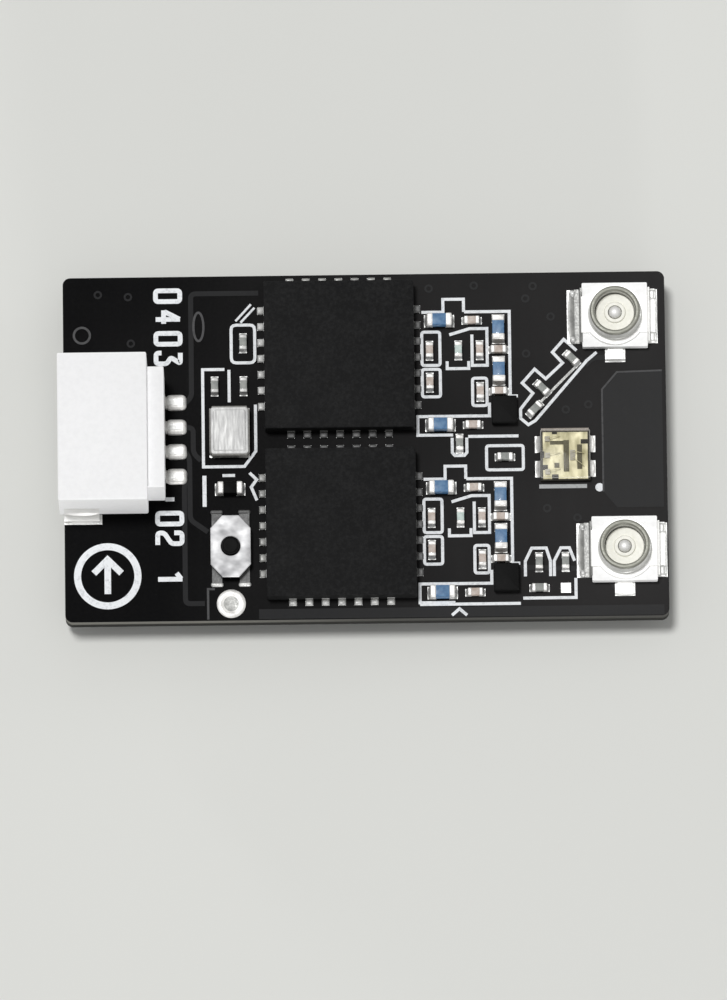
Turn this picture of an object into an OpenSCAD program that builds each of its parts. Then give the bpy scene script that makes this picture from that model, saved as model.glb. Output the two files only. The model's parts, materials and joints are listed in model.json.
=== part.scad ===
// Two-antenna radio control receiver: a bare circuit board, face up, with a wire socket at its left end,
// two coaxial antenna sockets at its right end and a controller chip underneath, which it rests on.
// X runs along the board, Y across it, Z up. The origin is the centre of the controller's outer face.

/* [Board] */
// Thickness of the laminate
board_t = 1.0; // [0.6:0.1:1.6]
// Radius of the board's corners
corner_r = 0.3; // [0.1:0.05:0.8]
// Bare board behind the rear transceiver
rear_margin = 0.4; // [0.35:0.05:1.5]
// Bare board in front of the front transceiver
front_margin = 0.8; // [0.5:0.05:2]
// Thickness of a tinned land
land_t = 0.05; // [0.03:0.01:0.08]
// Reach of a land past the end of its part
land_reach = 0.1; // [0.05:0.01:0.15]
// Diameter of the round test pad
pad_d = 1.15; // [0.8:0.05:1.4]
// Diameter of the dimple in the test pad
dimple_d = 0.4; // [0.2:0.05:0.6]
// Bare board in front of the test pad
pad_margin = 0.1; // [0.05:0.05:0.4]

/* [Wire socket] */
// Number of contacts
pin_count = 4; // [2:1:6]
// Pitch of the contacts
pin_pitch = 1.0; // [0.9:0.05:1.3]
// Housing beyond the centre of the end contacts
socket_side = 1.5; // [1.3:0.05:2]
// Depth of the housing from its mouth to its rear
socket_l = 4.25; // [3.8:0.05:5]
// Height of the housing
socket_h = 2.95; // [2.6:0.05:3.5]
// Reach of the mouth past the board's left edge
socket_overhang = 0.2; // [0:0.05:0.6]
// Offset of the socket from the board's centre line
socket_offset = 0.35; // [-1:0.05:1]
// Depth of the mouth
mouth_l = 2.9; // [2.4:0.05:3.2]
// Thickness of the housing's side walls
socket_wall = 0.55; // [0.45:0.05:0.8]
// Thickness of the housing's floor
socket_floor = 0.5; // [0.4:0.05:0.7]
// Thickness of the housing's roof
socket_roof = 0.55; // [0.4:0.05:0.7]
// Length of the stepped rear of the housing
step_l = 0.7; // [0.4:0.05:0.9]
// Set-back of the stepped rear at its sides
step_side = 0.55; // [0.2:0.05:0.7]
// Set-back of the stepped rear below the roof
step_drop = 0.3; // [0.1:0.05:0.6]
// Width of a contact
contact_w = 0.25; // [0.2:0.05:0.35]
// Thickness of a contact
contact_t = 0.2; // [0.15:0.05:0.25]
// Reach of a contact's tail past the housing
tail_l = 0.7; // [0.5:0.05:1]
// Length of a solder tab
tab_l = 1.4; // [1:0.05:1.8]
// Set-back of a solder tab from the mouth
tab_in = 0.2; // [0.1:0.05:0.5]
// Height of a solder tab
tab_h = 1.2; // [0.8:0.05:1.6]
// Thickness of a solder tab
tab_t = 0.2; // [0.15:0.05:0.25]
// Reach of a solder tab's foot past the housing
tab_reach = 0.3; // [0.2:0.05:0.5]

/* [Antenna sockets] */
// Width of the square insulating base
base_w = 2.6; // [2.4:0.05:2.9]
// Height of the insulating base
base_h = 0.4; // [0.3:0.05:0.6]
// Outer diameter of the ring that a plug snaps onto
ring_d = 2.0; // [1.8:0.05:2.2]
// Wall of the ring
ring_wall = 0.2; // [0.15:0.01:0.25]
// Reach of the shell's flange past the ring
ring_flange = 0.24; // [0.2:0.01:0.28]
// Height of the socket
ring_top = 1.25; // [1.1:0.05:1.6]
// Diameter of the centre contact
centre_d = 0.5; // [0.4:0.05:0.6]
// Height of the centre contact
centre_h = 1.0; // [0.8:0.05:1.05]
// Thickness of the shell's sheet metal
sheet_t = 0.1; // [0.08:0.01:0.14]
// Length of a ground foot along the base's side
foot_l = 2.2; // [1.8:0.05:2.3]
// Reach of a foot past the base
foot_reach = 0.3; // [0.2:0.05:0.4]
// Reach of a ground land past its foot, towards the middle of the board
ground_reach = 0.3; // [0.1:0.05:0.4]
// Width of the signal foot
signal_w = 0.6; // [0.4:0.05:0.8]
// Reach of the signal foot past the base
signal_reach = 0.45; // [0.3:0.05:0.6]
// Board between the rear socket's land and the right edge
rear_antenna_side = 0.3; // [0.05:0.05:0.4]
// Board between the front socket's land and the right edge
front_antenna_side = 0.05; // [0.05:0.05:0.3]
// Set-back of the rear socket behind the rear transceiver's centre
rear_antenna_back = 1.55; // [1.3:0.05:1.6]
// Board in front of the front socket's base
front_antenna_front = 1.35; // [1:0.05:1.6]

/* [Transceivers] */
// Height of a transceiver chip
chip_h = 0.85; // [0.7:0.05:1]
// Gap between the two chips
chip_gap = 0.8; // [0.7:0.05:1.5]
// Terminals along one side
lead_count = 7; // [6:1:8]
// Pitch of the terminals
lead_pitch = 0.65; // [0.5:0.05:0.65]
// Chip beyond the centre of the end terminals
chip_corner = 1.05; // [0.9:0.05:1.2]
// Width of a terminal
lead_w = 0.3; // [0.2:0.05:0.35]
// Length of a terminal
lead_l = 0.5; // [0.35:0.05:0.6]
// Thickness of a terminal
lead_t = 0.2; // [0.15:0.05:0.25]
// Reach of a chip's land past its side
lead_reach = 0.25; // [0.2:0.01:0.3]
// Gap between the terminals and the ground paddle
paddle_gap = 0.4; // [0.3:0.05:0.6]

/* [Controls] */
// Bare board between the contact tails and the control parts
control_in = 0.95; // [0.6:0.05:2]
// Bare board between the control parts and the transceivers
control_out = 0.6; // [0.5:0.05:1.5]
// Bare board between the control parts along their column
control_aisle = 0.6; // [0.4:0.05:0.8]
// Width of the oscillator can
can_w = 1.6; // [1.4:0.05:2]
// Length of the oscillator can
can_l = 2.0; // [1.8:0.05:2.4]
// Height of the oscillator can
can_h = 0.6; // [0.5:0.05:0.9]
// Thickness of the oscillator's lid
lid_t = 0.12; // [0.08:0.02:0.16]
// Wall of the oscillator's base
can_wall = 0.22; // [0.16:0.02:0.3]
// Bare board in front of the oscillator
can_front = 1.05; // [0.6:0.05:1.4]
// Spacing of the two capacitors behind the oscillator
pair_pitch = 1.15; // [0.8:0.05:1.3]
// Step from those capacitors to the rear one
pair_step = 1.75; // [1.3:0.05:2]
// Width of the button's cover
button_w = 1.6; // [1.5:0.05:2]
// Length of the button's cover
button_l = 2.5; // [2.3:0.05:2.8]
// Cut-back of the cover's corners along its width
cut_w = 0.42; // [0.3:0.02:0.45]
// Cut-back of the cover's corners along its length
cut_l = 0.55; // [0.4:0.05:0.7]
// Height of the button's base
button_h = 0.36; // [0.32:0.02:0.5]
// Thickness of the button's cover
cover_t = 0.1; // [0.08:0.01:0.15]
// Diameter of the plunger
plunger_d = 0.68; // [0.5:0.02:0.72]
// Reach of the plunger's hidden flange past its stem
flange_reach = 0.14; // [0.1:0.01:0.16]
// Height of the plunger above the cover
plunger_proud = 0.18; // [0.16:0.02:0.3]
// Travel of the plunger
travel = 0.12; // [0.08:0.01:0.14]
// Thickness of the contact dome
dome_t = 0.04; // [0.03:0.01:0.05]
// Reach of a button terminal past the cover
terminal_reach = 0.2; // [0.1:0.05:0.4]

/* [Signal light] */
// Width of the square signal light
light_w = 2.0; // [1.8:0.05:2.4]
// Height of the signal light
light_h = 0.65; // [0.55:0.05:0.8]
// Thickness of its substrate
substrate_t = 0.2; // [0.15:0.05:0.25]
// Thickness of its gold lead frame
frame_t = 0.03; // [0.02:0.01:0.04]
// Slit between the islands of the lead frame
slit = 0.1; // [0.06:0.01:0.12]
// Height of the light's dies
die_t = 0.1; // [0.08:0.01:0.14]
// Bare board between the band filters and the light
light_in = 0.9; // [0.3:0.05:1.2]

/* [Radio channels] */
// Length of a chip inductor or resistor
part_l = 1.0; // [0.9:0.05:1.1]
// Width of a chip inductor or resistor
part_w = 0.5; // [0.4:0.05:0.6]
// Height of a chip inductor
part_h = 0.5; // [0.3:0.05:0.6]
// Length of a chip capacitor
small_l = 0.6; // [0.5:0.02:0.66]
// Width of a chip capacitor
small_w = 0.3; // [0.25:0.01:0.36]
// Height of a chip capacitor
small_h = 0.3; // [0.2:0.02:0.36]
// Share of a chip part's length that each metal end covers
end_share = 0.25; // [0.2:0.01:0.3]
// Step from a metal end down to the part's core
core_inset = 0.02; // [0.01:0.005:0.03]
// Width of a band filter
filter_w = 1.0; // [0.9:0.05:1.2]
// Length of a band filter
filter_l = 1.1; // [0.9:0.05:1.3]
// Height of a band filter
filter_h = 0.45; // [0.35:0.05:0.6]
// Gap between a land and the next part of the stack
part_gap = 0.1; // [0.06:0.01:0.14]
// Start of a channel's first row beyond the transceiver
row_in = 0.5; // [0.4:0.05:0.7]
// Bare board between parts along a row
aisle = 0.5; // [0.4:0.05:0.6]
// Rear end of a channel's stack above the transceiver's centre
stack_top = 1.6; // [1.5:0.05:1.9]
// Distance between the two parts on the diagonal feed
feed_pitch = 1.69; // [1.4:0.05:1.9]
// Distance of the feed's last part from the rear antenna socket
feed_in = 1.74; // [1.6:0.02:1.9]
// Distance from the front band filter to the first tuning part
tune_in = 0.8; // [0.7:0.05:1]
// Pitch of the tuning parts
tune_pitch = 1.05; // [0.95:0.05:1.2]
// Bare board between the tuning parts and the front antenna socket's land
antenna_gap = 0.3; // [0.2:0.05:0.6]
// Width of the bare tuning pad
tune_pad = 0.4; // [0.3:0.05:0.5]

/* [Underside] */
// Height of the controller chip, which sets the board's height
controller_h = 0.85; // [0.8:0.05:1.2]
// Controller terminals along one side
controller_lead_count = 12; // [8:1:12]
// Pitch of the controller's terminals
controller_pitch = 0.5; // [0.4:0.05:0.5]
// Controller beyond the centre of its end terminals
controller_corner = 0.75; // [0.75:0.05:1]
// Width of a controller terminal
controller_lead_w = 0.25; // [0.18:0.01:0.3]
// Width of the square voltage regulator
regulator_w = 2.0; // [1.8:0.05:2.4]
// Height of the voltage regulator
regulator_h = 0.7; // [0.5:0.05:0.75]
// Width of the controller's crystal
crystal_w = 1.6; // [1.4:0.05:1.8]
// Length of the controller's crystal
crystal_l = 2.0; // [1.8:0.05:2.4]
// Height of the controller's crystal
crystal_h = 0.5; // [0.4:0.05:0.7]
// Bare board round the controller
under_aisle = 1.0; // [0.7:0.05:1.4]

/* [Fits] */
// Clearance round a piece set into another
fit = 0.02; // [0.01:0.01:0.04]
// Radial clearance of the plunger in its cover
plunger_fit = 0.05; // [0.03:0.01:0.08]
// Bevel along moulded edges
bevel = 0.05; // [0.03:0.01:0.08]

/* [Hidden] */
$fn = 48;
CUT = 0.01;
RIGHT_ANGLE = 90;
FEED_ANGLE = 45;
SIDES = [-1, 1];

MASK = "#1c1c1e";
TIN = "#d5d6d6";
WHITE = "#ececec";
CREAM = "#dedccb";
MOULD = "#262627";
CERAMIC = "#6d6a66";
BLUE = "#3f78a8";
TAN = "#c9b9a2";
GOLD = "#d8b552";
CLEAR = "#f4f1dcaa";

// Heights: the underside face of the board, its upper face, and the seat on top of a land
under_z = controller_h + land_t;
top_z = under_z + board_t;
seat_z = top_z + land_t;

// Chip widths and ground paddles, from their terminals
chip_w = (lead_count - 1) * lead_pitch + 2 * chip_corner;
paddle_w = chip_w - 2 * (lead_l + paddle_gap);
controller_w = (controller_lead_count - 1) * controller_pitch + 2 * controller_corner;
controller_paddle = controller_w - 2 * (lead_l + paddle_gap);

// Places along X, counted from the board's left edge
control_w = max(can_w, button_w);
control_u = socket_l - socket_overhang + tail_l + land_reach + control_in + control_w / 2;
chip_u = control_u + control_w / 2 + control_out + chip_w / 2;
channel_u = chip_u + chip_w / 2;

// One channel, counted from the middle of the transceiver's right side
part_end = part_l / 2 + land_reach;
small_end = small_l / 2 + land_reach;
column_1 = lead_reach + 2 * part_gap + small_w / 2;
column_2 = row_in + part_l + aisle / 2;
row_cap = row_in + part_l + aisle + small_l / 2;
column_3 = row_cap + small_l / 2;
column_4 = column_3 + aisle + part_w / 2;
filter_x = column_4 - small_l / 2 + filter_w / 2;
channel_l = filter_x + filter_w / 2;
row_rear = stack_top - small_w / 2;
stack_a = stack_top - part_l / 2;
stack_b = stack_a - part_end - part_gap - small_w / 2;
stack_c = stack_b - small_w / 2 - part_gap - part_end;
stack_d = stack_c - part_end - part_gap - small_w / 2;
filter_y = stack_d - small_w / 2 - part_gap - filter_l / 2;
row_front = filter_y - filter_l / 2;
side_front = stack_b - 2 * small_end - aisle;

// Channel places are [x, y, turn]
channel_inductors = [
    [row_in + part_l / 2, row_rear, 0],
    [column_4, stack_a, RIGHT_ANGLE],
    [column_4, stack_c, RIGHT_ANGLE],
    [row_in + part_l / 2, row_front, 0]
];
channel_capacitors = [
    [row_cap, row_rear, 0],
    [column_4, stack_b, 0],
    [column_4, stack_d, 0],
    [column_1, stack_b, RIGHT_ANGLE],
    [column_2, stack_b, RIGHT_ANGLE],
    [column_3, stack_b, RIGHT_ANGLE],
    [column_1, side_front, RIGHT_ANGLE],
    [column_3, stack_d, RIGHT_ANGLE],
    [row_cap, row_front, 0]
];

// Antenna end, from the band filters to the board's right edge
antenna_half = base_w / 2 + foot_reach + land_reach;
tune_l = tune_in + tune_pitch + small_w / 2;
antenna_zone = tune_l + antenna_gap + ground_reach - land_reach + 2 * antenna_half + front_antenna_side;

// Board outline, which follows from the parts and their margins, and the main places on it
board_l = channel_u + channel_l + antenna_zone;
board_w = rear_margin + front_margin + chip_gap + 2 * chip_w;
left_x = -board_l / 2;
right_x = board_l / 2;
rear_edge = board_w / 2;
front_edge = -board_w / 2;
chip_x = left_x + chip_u;
channel_x = left_x + channel_u;
channel_end = channel_x + channel_l;
rear_y = rear_edge - rear_margin - chip_w / 2;
front_y = front_edge + front_margin + chip_w / 2;
mid_y = (rear_y + row_front - part_w / 2 + front_y + stack_top) / 2;
light_x = channel_end + light_in + light_w / 2;

// Wire socket
socket_x = left_x - socket_overhang;
socket_w = (pin_count - 1) * pin_pitch + 2 * socket_side;
pin_z = (socket_floor + socket_h - socket_roof) / 2;
contact_tip = mouth_l / 3;

// Antenna sockets
rear_antenna = [right_x - rear_antenna_side - antenna_half, rear_y + rear_antenna_back];
front_antenna = [right_x - front_antenna_side - antenna_half, front_edge + front_antenna_front + base_w / 2];
flange_r = ring_d / 2 + ring_flange;

// Control column, built up from the front edge
control_x = left_x + control_u;
pad_y = front_edge + pad_margin + pad_d / 2;
button_span = button_l + 2 * (terminal_reach + land_reach);
button_y = pad_y + pad_d / 2 + part_gap + button_span / 2;
resistor_y = button_y + button_span / 2 + control_aisle + part_w / 2;
can_y = resistor_y + part_w / 2 + can_front + can_l / 2;
pair_y = can_y + can_l / 2 + control_aisle + small_l / 2;
control_capacitors_at = [
    [control_x - pair_pitch / 2, pair_y, RIGHT_ANGLE],
    [control_x + pair_pitch / 2, pair_y, RIGHT_ANGLE],
    [control_x + pair_pitch / 2, pair_y + pair_step, RIGHT_ANGLE]
];
resistors_at = [
    [control_x, resistor_y, 0]
];

// Feed of the rear antenna and tuning of the front one
feed_end = [rear_antenna[0] - feed_in, rear_antenna[1] - base_w / 2 - foot_reach - land_reach];
feed_start = feed_end - feed_pitch * [cos(FEED_ANGLE), sin(FEED_ANGLE)];
feed_root = feed_start - [3 * part_gap, feed_pitch / 2];
tune_x = channel_end + tune_in;
tune_y = front_y + filter_y + filter_l / 2 + part_gap;
tune_front = tune_y - small_end - aisle - small_w / 2;
antenna_capacitors_at = [
    [feed_root[0], feed_root[1], FEED_ANGLE],
    [feed_start[0], feed_start[1], -FEED_ANGLE],
    [feed_end[0], feed_end[1], -FEED_ANGLE],
    [tune_x, tune_y, RIGHT_ANGLE],
    [tune_x + tune_pitch, tune_y, RIGHT_ANGLE],
    [tune_x, tune_front, 0],
    [channel_x + filter_x, mid_y, 0],
    [channel_x + column_2, rear_y + row_front - part_w / 2 - part_gap - small_end, RIGHT_ANGLE]
];

// Button, from its seat upwards
terminal_t = cover_t;
base_top = terminal_t + button_h;
flange_d = plunger_d + 2 * flange_reach;
well_r = flange_d / 2 + plunger_fit;
flange_t = cover_t * 0.6;
flange_low = base_top - fit - flange_t;
dome_floor = terminal_t + cover_t;
dome_rise = flange_low - dome_floor;
dome_rim = well_r - fit;
dome_r = (dome_rim * dome_rim + dome_rise * dome_rise) / (2 * dome_rise);

// Signal light
lens_l = light_w - slit;
die_w = light_w / 10;
island = (lens_l - 4 * slit) / 4;

// Underside places, [x, y, turn]
controller_edge = controller_w / 2 + lead_reach;
regulator_at = [-controller_edge - under_aisle - regulator_w / 2, rear_edge / 3];
crystal_at = [controller_edge + under_aisle + crystal_w / 2, rear_edge / 3];
under_capacitors_at = [for (side = SIDES, row = [-1, 0, 1])
    [side * (controller_edge + under_aisle), front_edge / 3 + row * (part_w + aisle), 0]];

// A block standing on its base, centred in X and Y
module block(l, w, h) {
    translate([-l / 2, -w / 2, 0]) cube([l, w, h]);
}

// A box between two corners
module box(low, high) {
    translate(low) cube(high - low);
}

// The end view of a block whose upper edges are bevelled
module bevelled_end(w, h, cut) {
    polygon([
        [-w / 2, 0], [w / 2, 0], [w / 2, h - cut],
        [w / 2 - cut, h], [-w / 2 + cut, h], [-w / 2, h - cut]
    ]);
}

// A block with bevelled upper edges
module bevelled_block(l, w, h, cut) {
    intersection() {
        rotate([90, 0, 0]) translate([0, 0, -w / 2]) linear_extrude(w) bevelled_end(l, h, cut);
        rotate([90, 0, 90]) translate([0, 0, -l / 2]) linear_extrude(l) bevelled_end(w, h, cut);
    }
}

// A plate with rounded corners
module rounded_plate(l, w, h, r) {
    linear_extrude(h) {
        square([l, w - 2 * r], center = true);
        square([l - 2 * r, w], center = true);
        for (sx = SIDES, sy = SIDES) translate([sx * (l / 2 - r), sy * (w / 2 - r)]) circle(r);
    }
}

// The plan of the button's cover: a rectangle with its corners cut back, drawn in by an inset
module button_plan(inset) {
    half_w = button_w / 2 - inset;
    half_l = button_l / 2 - inset;
    polygon([
        [half_w, half_l - cut_l], [half_w - cut_w, half_l],
        [-half_w + cut_w, half_l], [-half_w, half_l - cut_l],
        [-half_w, -half_l + cut_l], [-half_w + cut_w, -half_l],
        [half_w - cut_w, -half_l], [half_w, -half_l + cut_l]
    ]);
}

// Puts its children at each place of a list of [x, y, turn]
module at_places(places, offset, z) {
    for (p = places) translate([offset[0] + p[0], offset[1] + p[1], z]) rotate([0, 0, p[2]]) children();
}

// Turns its children upside down onto the underside of the board
module underneath(x, y, drop) {
    translate([x, y, under_z - drop]) mirror([0, 0, 1]) children();
}

// The core of a chip part, between its metal ends
module chip_core(l, w, h) {
    core_l = l * (1 - 2 * end_share);
    translate([0, 0, core_inset]) block(core_l, w - 2 * core_inset, h - 2 * core_inset);
}

// The two metal ends of a chip part
module chip_ends(l, w, h) {
    end_l = l * end_share;
    for (s = SIDES) translate([s * (l - end_l) / 2, 0, 0]) block(end_l, w, h);
}

// The two lands of a chip part, reaching past its ends
module chip_lands(l, w) {
    land_l = l * end_share + land_reach;
    for (s = SIDES) translate([s * (l / 2 + land_reach - land_l / 2), 0, 0]) block(land_l, w, land_t);
}

// One row of a leadless chip's terminals along each of its four sides, and a paddle in the middle
module leadless_plan(w, count, pitch, terminal_w, terminal_l, reach, paddle, t) {
    for (turn = [0:3], i = [0:count - 1])
        rotate([0, 0, turn * RIGHT_ANGLE])
            translate([w / 2 - terminal_l, (i - (count - 1) / 2) * pitch - terminal_w / 2, 0])
                cube([terminal_l + reach, terminal_w, t]);
    block(paddle, paddle, t);
}

// The moulded body of a leadless chip, with its terminals let into the base
module leadless_body(w, h, count, pitch, terminal_w, terminal_l, paddle) {
    difference() {
        bevelled_block(w, w, h, bevel);
        leadless_plan(w, count, pitch, terminal_w, terminal_l, CUT, paddle, lead_t);
    }
}

module transceiver_body() {
    leadless_body(chip_w, chip_h, lead_count, lead_pitch, lead_w, lead_l, paddle_w);
}

module transceiver_leads() {
    leadless_plan(chip_w, lead_count, lead_pitch, lead_w, lead_l, 0, paddle_w, lead_t);
}

// One antenna socket, seated on its lands
module antenna_base() {
    difference() {
        union() {
            rounded_plate(base_w, base_w, base_h, bevel);
            cylinder(d = (ring_d - 2 * ring_wall + centre_d) / 2, h = base_h + sheet_t);
        }
        translate([0, 0, -CUT]) cylinder(d = centre_d, h = base_h + sheet_t + 2 * CUT);
        box([-signal_w / 2, -base_w / 2 - CUT, -CUT], [signal_w / 2, centre_d / 2, sheet_t]);
    }
}

module antenna_shell() {
    inner_r = ring_d / 2 - ring_wall;
    outer_r = ring_d / 2;
    translate([0, 0, base_h]) difference() {
        cylinder(r = flange_r, h = sheet_t);
        translate([0, 0, -CUT]) cylinder(r = inner_r, h = sheet_t + 2 * CUT);
    }
    rotate_extrude() polygon([
        [inner_r, base_h], [outer_r, base_h], [outer_r, ring_top - bevel], [outer_r - bevel, ring_top],
        [inner_r, ring_top]
    ]);
    for (s = SIDES) mirror([s < 0 ? 1 : 0, 0, 0]) {
        difference() {
            box([inner_r, -foot_l / 3, base_h], [base_w / 2 + sheet_t, foot_l / 3, base_h + sheet_t]);
            cylinder(r = inner_r, h = ring_top);
        }
        box([base_w / 2, -foot_l / 2, 0], [base_w / 2 + sheet_t, foot_l / 2, base_h + sheet_t]);
        box([base_w / 2, -foot_l / 2, 0], [base_w / 2 + foot_reach, foot_l / 2, sheet_t]);
    }
}

module antenna_contact() {
    tip_h = centre_d / 4;
    cylinder(d = centre_d, h = centre_h - tip_h);
    translate([0, 0, centre_h - tip_h]) cylinder(d1 = centre_d, d2 = centre_d / 2, h = tip_h);
    box([-signal_w / 2, -base_w / 2 - signal_reach, 0], [signal_w / 2, 0, sheet_t]);
}

// Lands of one antenna socket: a short one at the board's edge, a long one inboard, one for the signal foot
module antenna_lands() {
    inboard = base_w / 2 + foot_reach + ground_reach;
    front = base_w / 2 + signal_reach + land_reach;
    box([base_w / 2, -foot_l / 2, 0], [antenna_half, foot_l / 2, land_t]);
    box([-inboard, -foot_l / 2, 0], [-base_w / 2, foot_l / 2, land_t]);
    signal_half = signal_w / 2 + land_reach;
    box([-signal_half, -front, 0], [signal_half, -base_w / 2 + land_reach, land_t]);
}

// Seats its children at an antenna socket's place
module at_antenna(place) {
    translate([place[0], place[1], seat_z]) children();
}

// The contacts' places across the socket
function pin_y(i) = (i - (pin_count - 1) / 2) * pin_pitch;

// One contact grown by a clearance: a blade in the mouth, a leg down the rear and a tail on the board
module contact_shape(grow, foot_z) {
    leg_x = socket_l - contact_t;
    half = contact_w / 2 + grow;
    box([contact_tip, -half, pin_z - contact_t / 2 - grow], [socket_l, half, pin_z + contact_t / 2 + grow]);
    box([leg_x - grow, -half, foot_z], [socket_l, half, pin_z + contact_t / 2 + grow]);
    box([leg_x - grow, -half, foot_z], [socket_l + tail_l, half, land_t + contact_t + grow]);
}

// One solder tab on the +Y side, grown by a clearance: a leaf let into the side wall and a foot
module tab_leaf(grow) {
    side = socket_w / 2;
    box([tab_in - grow, side - tab_t - grow, 0], [tab_in + tab_l + grow, side + CUT, tab_h + grow]);
}

module tab_shape() {
    side = socket_w / 2;
    box([tab_in, side - tab_t, land_t], [tab_in + tab_l, side, tab_h]);
    box([tab_in, side - tab_t, land_t], [tab_in + tab_l, side + tab_reach, land_t + tab_t]);
}

module in_socket() {
    translate([socket_x, socket_offset, top_z]) children();
}

// Lead frame islands of the signal light: three stacked squares and three bars
module light_islands(t) {
    third = (lens_l - 2 * slit) / 3;
    left = -lens_l / 2;
    for (i = [0:2])
        translate([left, -lens_l / 2 + i * (third + slit), 0]) cube([island + slit, third, t]);
    for (i = [1:3])
        translate([left + slit + i * (island + slit), -lens_l / 2, 0]) cube([island, lens_l, t]);
}

// The dies on the islands: three light dies and one driver
module light_die_set() {
    third = (lens_l - 2 * slit) / 3;
    left = -lens_l / 2;
    for (i = [0:2])
        translate([left + (island + slit) / 2, (i - 1) * (third + slit), 0]) block(die_w, die_w, die_t);
    translate([left + slit + 2 * (island + slit) + island / 2, 0, 0]) block(die_w, 2 * die_w, die_t);
}

module light_lands() {
    for (sx = SIDES, sy = SIDES)
        translate([sx * light_w / 2, sy * light_w / 4, 0])
            block(2 * land_reach + 2 * part_gap, light_w / 3, land_t);
}

// Four terminals under the corners of the button
module button_feet(reach, t) {
    foot_w = button_w / 4;
    for (sx = SIDES, sy = [0, 1]) mirror([0, sy, 0])
        translate([sx * (button_w / 2 - foot_w / 2 - bevel) - foot_w / 2, button_l / 4, 0])
            cube([foot_w, button_l / 4 + terminal_reach + reach, t]);
}

// Four corner lands of a can
module can_lands(w, l) {
    for (sx = SIDES, sy = SIDES)
        translate([sx * (w / 2 - can_wall), sy * (l / 2 - can_wall), 0])
            block(2 * can_wall, 2 * can_wall, land_t);
}

// Four corner lands of a band filter
module filter_lands() {
    for (sx = SIDES, sy = SIDES)
        translate([sx * filter_w / 3, sy * filter_l / 3, 0]) block(filter_w / 4, filter_l / 4, land_t);
}

// Terminals of the regulator along two sides
module regulator_terminals(reach, t) {
    for (s = [0, 1], i = [-1, 0, 1]) mirror([s, 0, 0])
        translate([regulator_w / 2 - lead_l, i * lead_pitch - lead_w / 2, 0])
            cube([lead_l + reach, lead_w, t]);
}

module circuit_board() {
    color(MASK) translate([0, 0, under_z]) rounded_plate(board_l, board_w, board_t, corner_r);
}

module top_lands() {
    color(TIN) {
        for (y = [rear_y, front_y]) {
            translate([chip_x, y, top_z])
                leadless_plan(chip_w, lead_count, lead_pitch, lead_w, lead_l, lead_reach, paddle_w, land_t);
            at_places(channel_inductors, [channel_x, y], top_z) chip_lands(part_l, part_w);
            at_places(channel_capacitors, [channel_x, y], top_z) chip_lands(small_l, small_w);
            translate([channel_x + filter_x, y + filter_y, top_z]) filter_lands();
        }
        at_places(antenna_capacitors_at, [0, 0], top_z) chip_lands(small_l, small_w);
        at_places(control_capacitors_at, [0, 0], top_z) chip_lands(small_l, small_w);
        at_places(resistors_at, [0, 0], top_z) chip_lands(part_l, part_w);
        for (a = [rear_antenna, front_antenna]) translate([a[0], a[1], top_z]) antenna_lands();
        translate([light_x, mid_y, top_z]) light_lands();
        translate([tune_x + tune_pitch, tune_front, top_z]) block(tune_pad, tune_pad, land_t);
        translate([control_x, button_y, top_z]) button_feet(land_reach, land_t);
        translate([control_x, can_y, top_z]) can_lands(can_w, can_l);
        in_socket() {
            for (i = [0:pin_count - 1]) translate([0, pin_y(i), 0])
                box([socket_l, -contact_w, 0], [socket_l + tail_l + land_reach, contact_w, land_t]);
            for (s = [0, 1]) mirror([0, s, 0])
                box([max(tab_in - land_reach, socket_overhang), socket_w / 2, 0],
                    [tab_in + tab_l + land_reach, socket_w / 2 + tab_reach + land_reach, land_t]);
        }
    }
}

module underside_lands() {
    color(TIN) {
        underneath(0, 0, 0)
            leadless_plan(controller_w, controller_lead_count, controller_pitch, controller_lead_w, lead_l,
                lead_reach, controller_paddle, land_t);
        underneath(regulator_at[0], regulator_at[1], 0) regulator_terminals(lead_reach, land_t);
        underneath(crystal_at[0], crystal_at[1], 0) can_lands(crystal_w, crystal_l);
        underneath(0, 0, 0) at_places(under_capacitors_at, [0, 0], 0) chip_lands(part_l, part_w);
    }
}

module test_pad() {
    color(TIN) translate([control_x, pad_y, top_z]) difference() {
        cylinder(d = pad_d, h = land_t);
        translate([0, 0, land_t / 2]) cylinder(d = dimple_d, h = land_t);
    }
}

module socket_housing() {
    mouth_half = socket_w / 2 - socket_wall;
    slot_half = contact_w / 2 + fit;
    color(WHITE) in_socket() difference() {
        union() {
            translate([(socket_l - step_l) / 2, 0, 0])
                bevelled_block(socket_l - step_l, socket_w, socket_h, bevel);
            box([socket_l - step_l - bevel, -socket_w / 2 + step_side, 0],
                [socket_l, socket_w / 2 - step_side, socket_h - step_drop]);
        }
        box([-CUT, -mouth_half, socket_floor], [mouth_l, mouth_half, socket_h - socket_roof]);
        for (i = [0:pin_count - 1]) translate([0, pin_y(i), 0]) {
            contact_shape(fit, -CUT);
            box([socket_l - CUT, -slot_half, -CUT], [socket_l + CUT, slot_half, pin_z + contact_t / 2 + fit]);
        }
        for (s = [0, 1]) mirror([0, s, 0]) translate([0, 0, -CUT]) tab_leaf(0);
    }
}

module socket_contacts() {
    color(TIN) in_socket() for (i = [0:pin_count - 1]) translate([0, pin_y(i), 0]) contact_shape(0, land_t);
}

module socket_tabs() {
    color(TIN) in_socket() for (s = [0, 1]) mirror([0, s, 0]) tab_shape();
}

module rear_antenna_base() {
    color(WHITE) at_antenna(rear_antenna) antenna_base();
}

module rear_antenna_shell() {
    color(CREAM) at_antenna(rear_antenna) antenna_shell();
}

module rear_antenna_contact() {
    color(CREAM) at_antenna(rear_antenna) antenna_contact();
}

module front_antenna_base() {
    color(WHITE) at_antenna(front_antenna) antenna_base();
}

module front_antenna_shell() {
    color(CREAM) at_antenna(front_antenna) antenna_shell();
}

module front_antenna_contact() {
    color(CREAM) at_antenna(front_antenna) antenna_contact();
}

module rear_transceiver() {
    color(MOULD) translate([chip_x, rear_y, seat_z]) transceiver_body();
}

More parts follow.
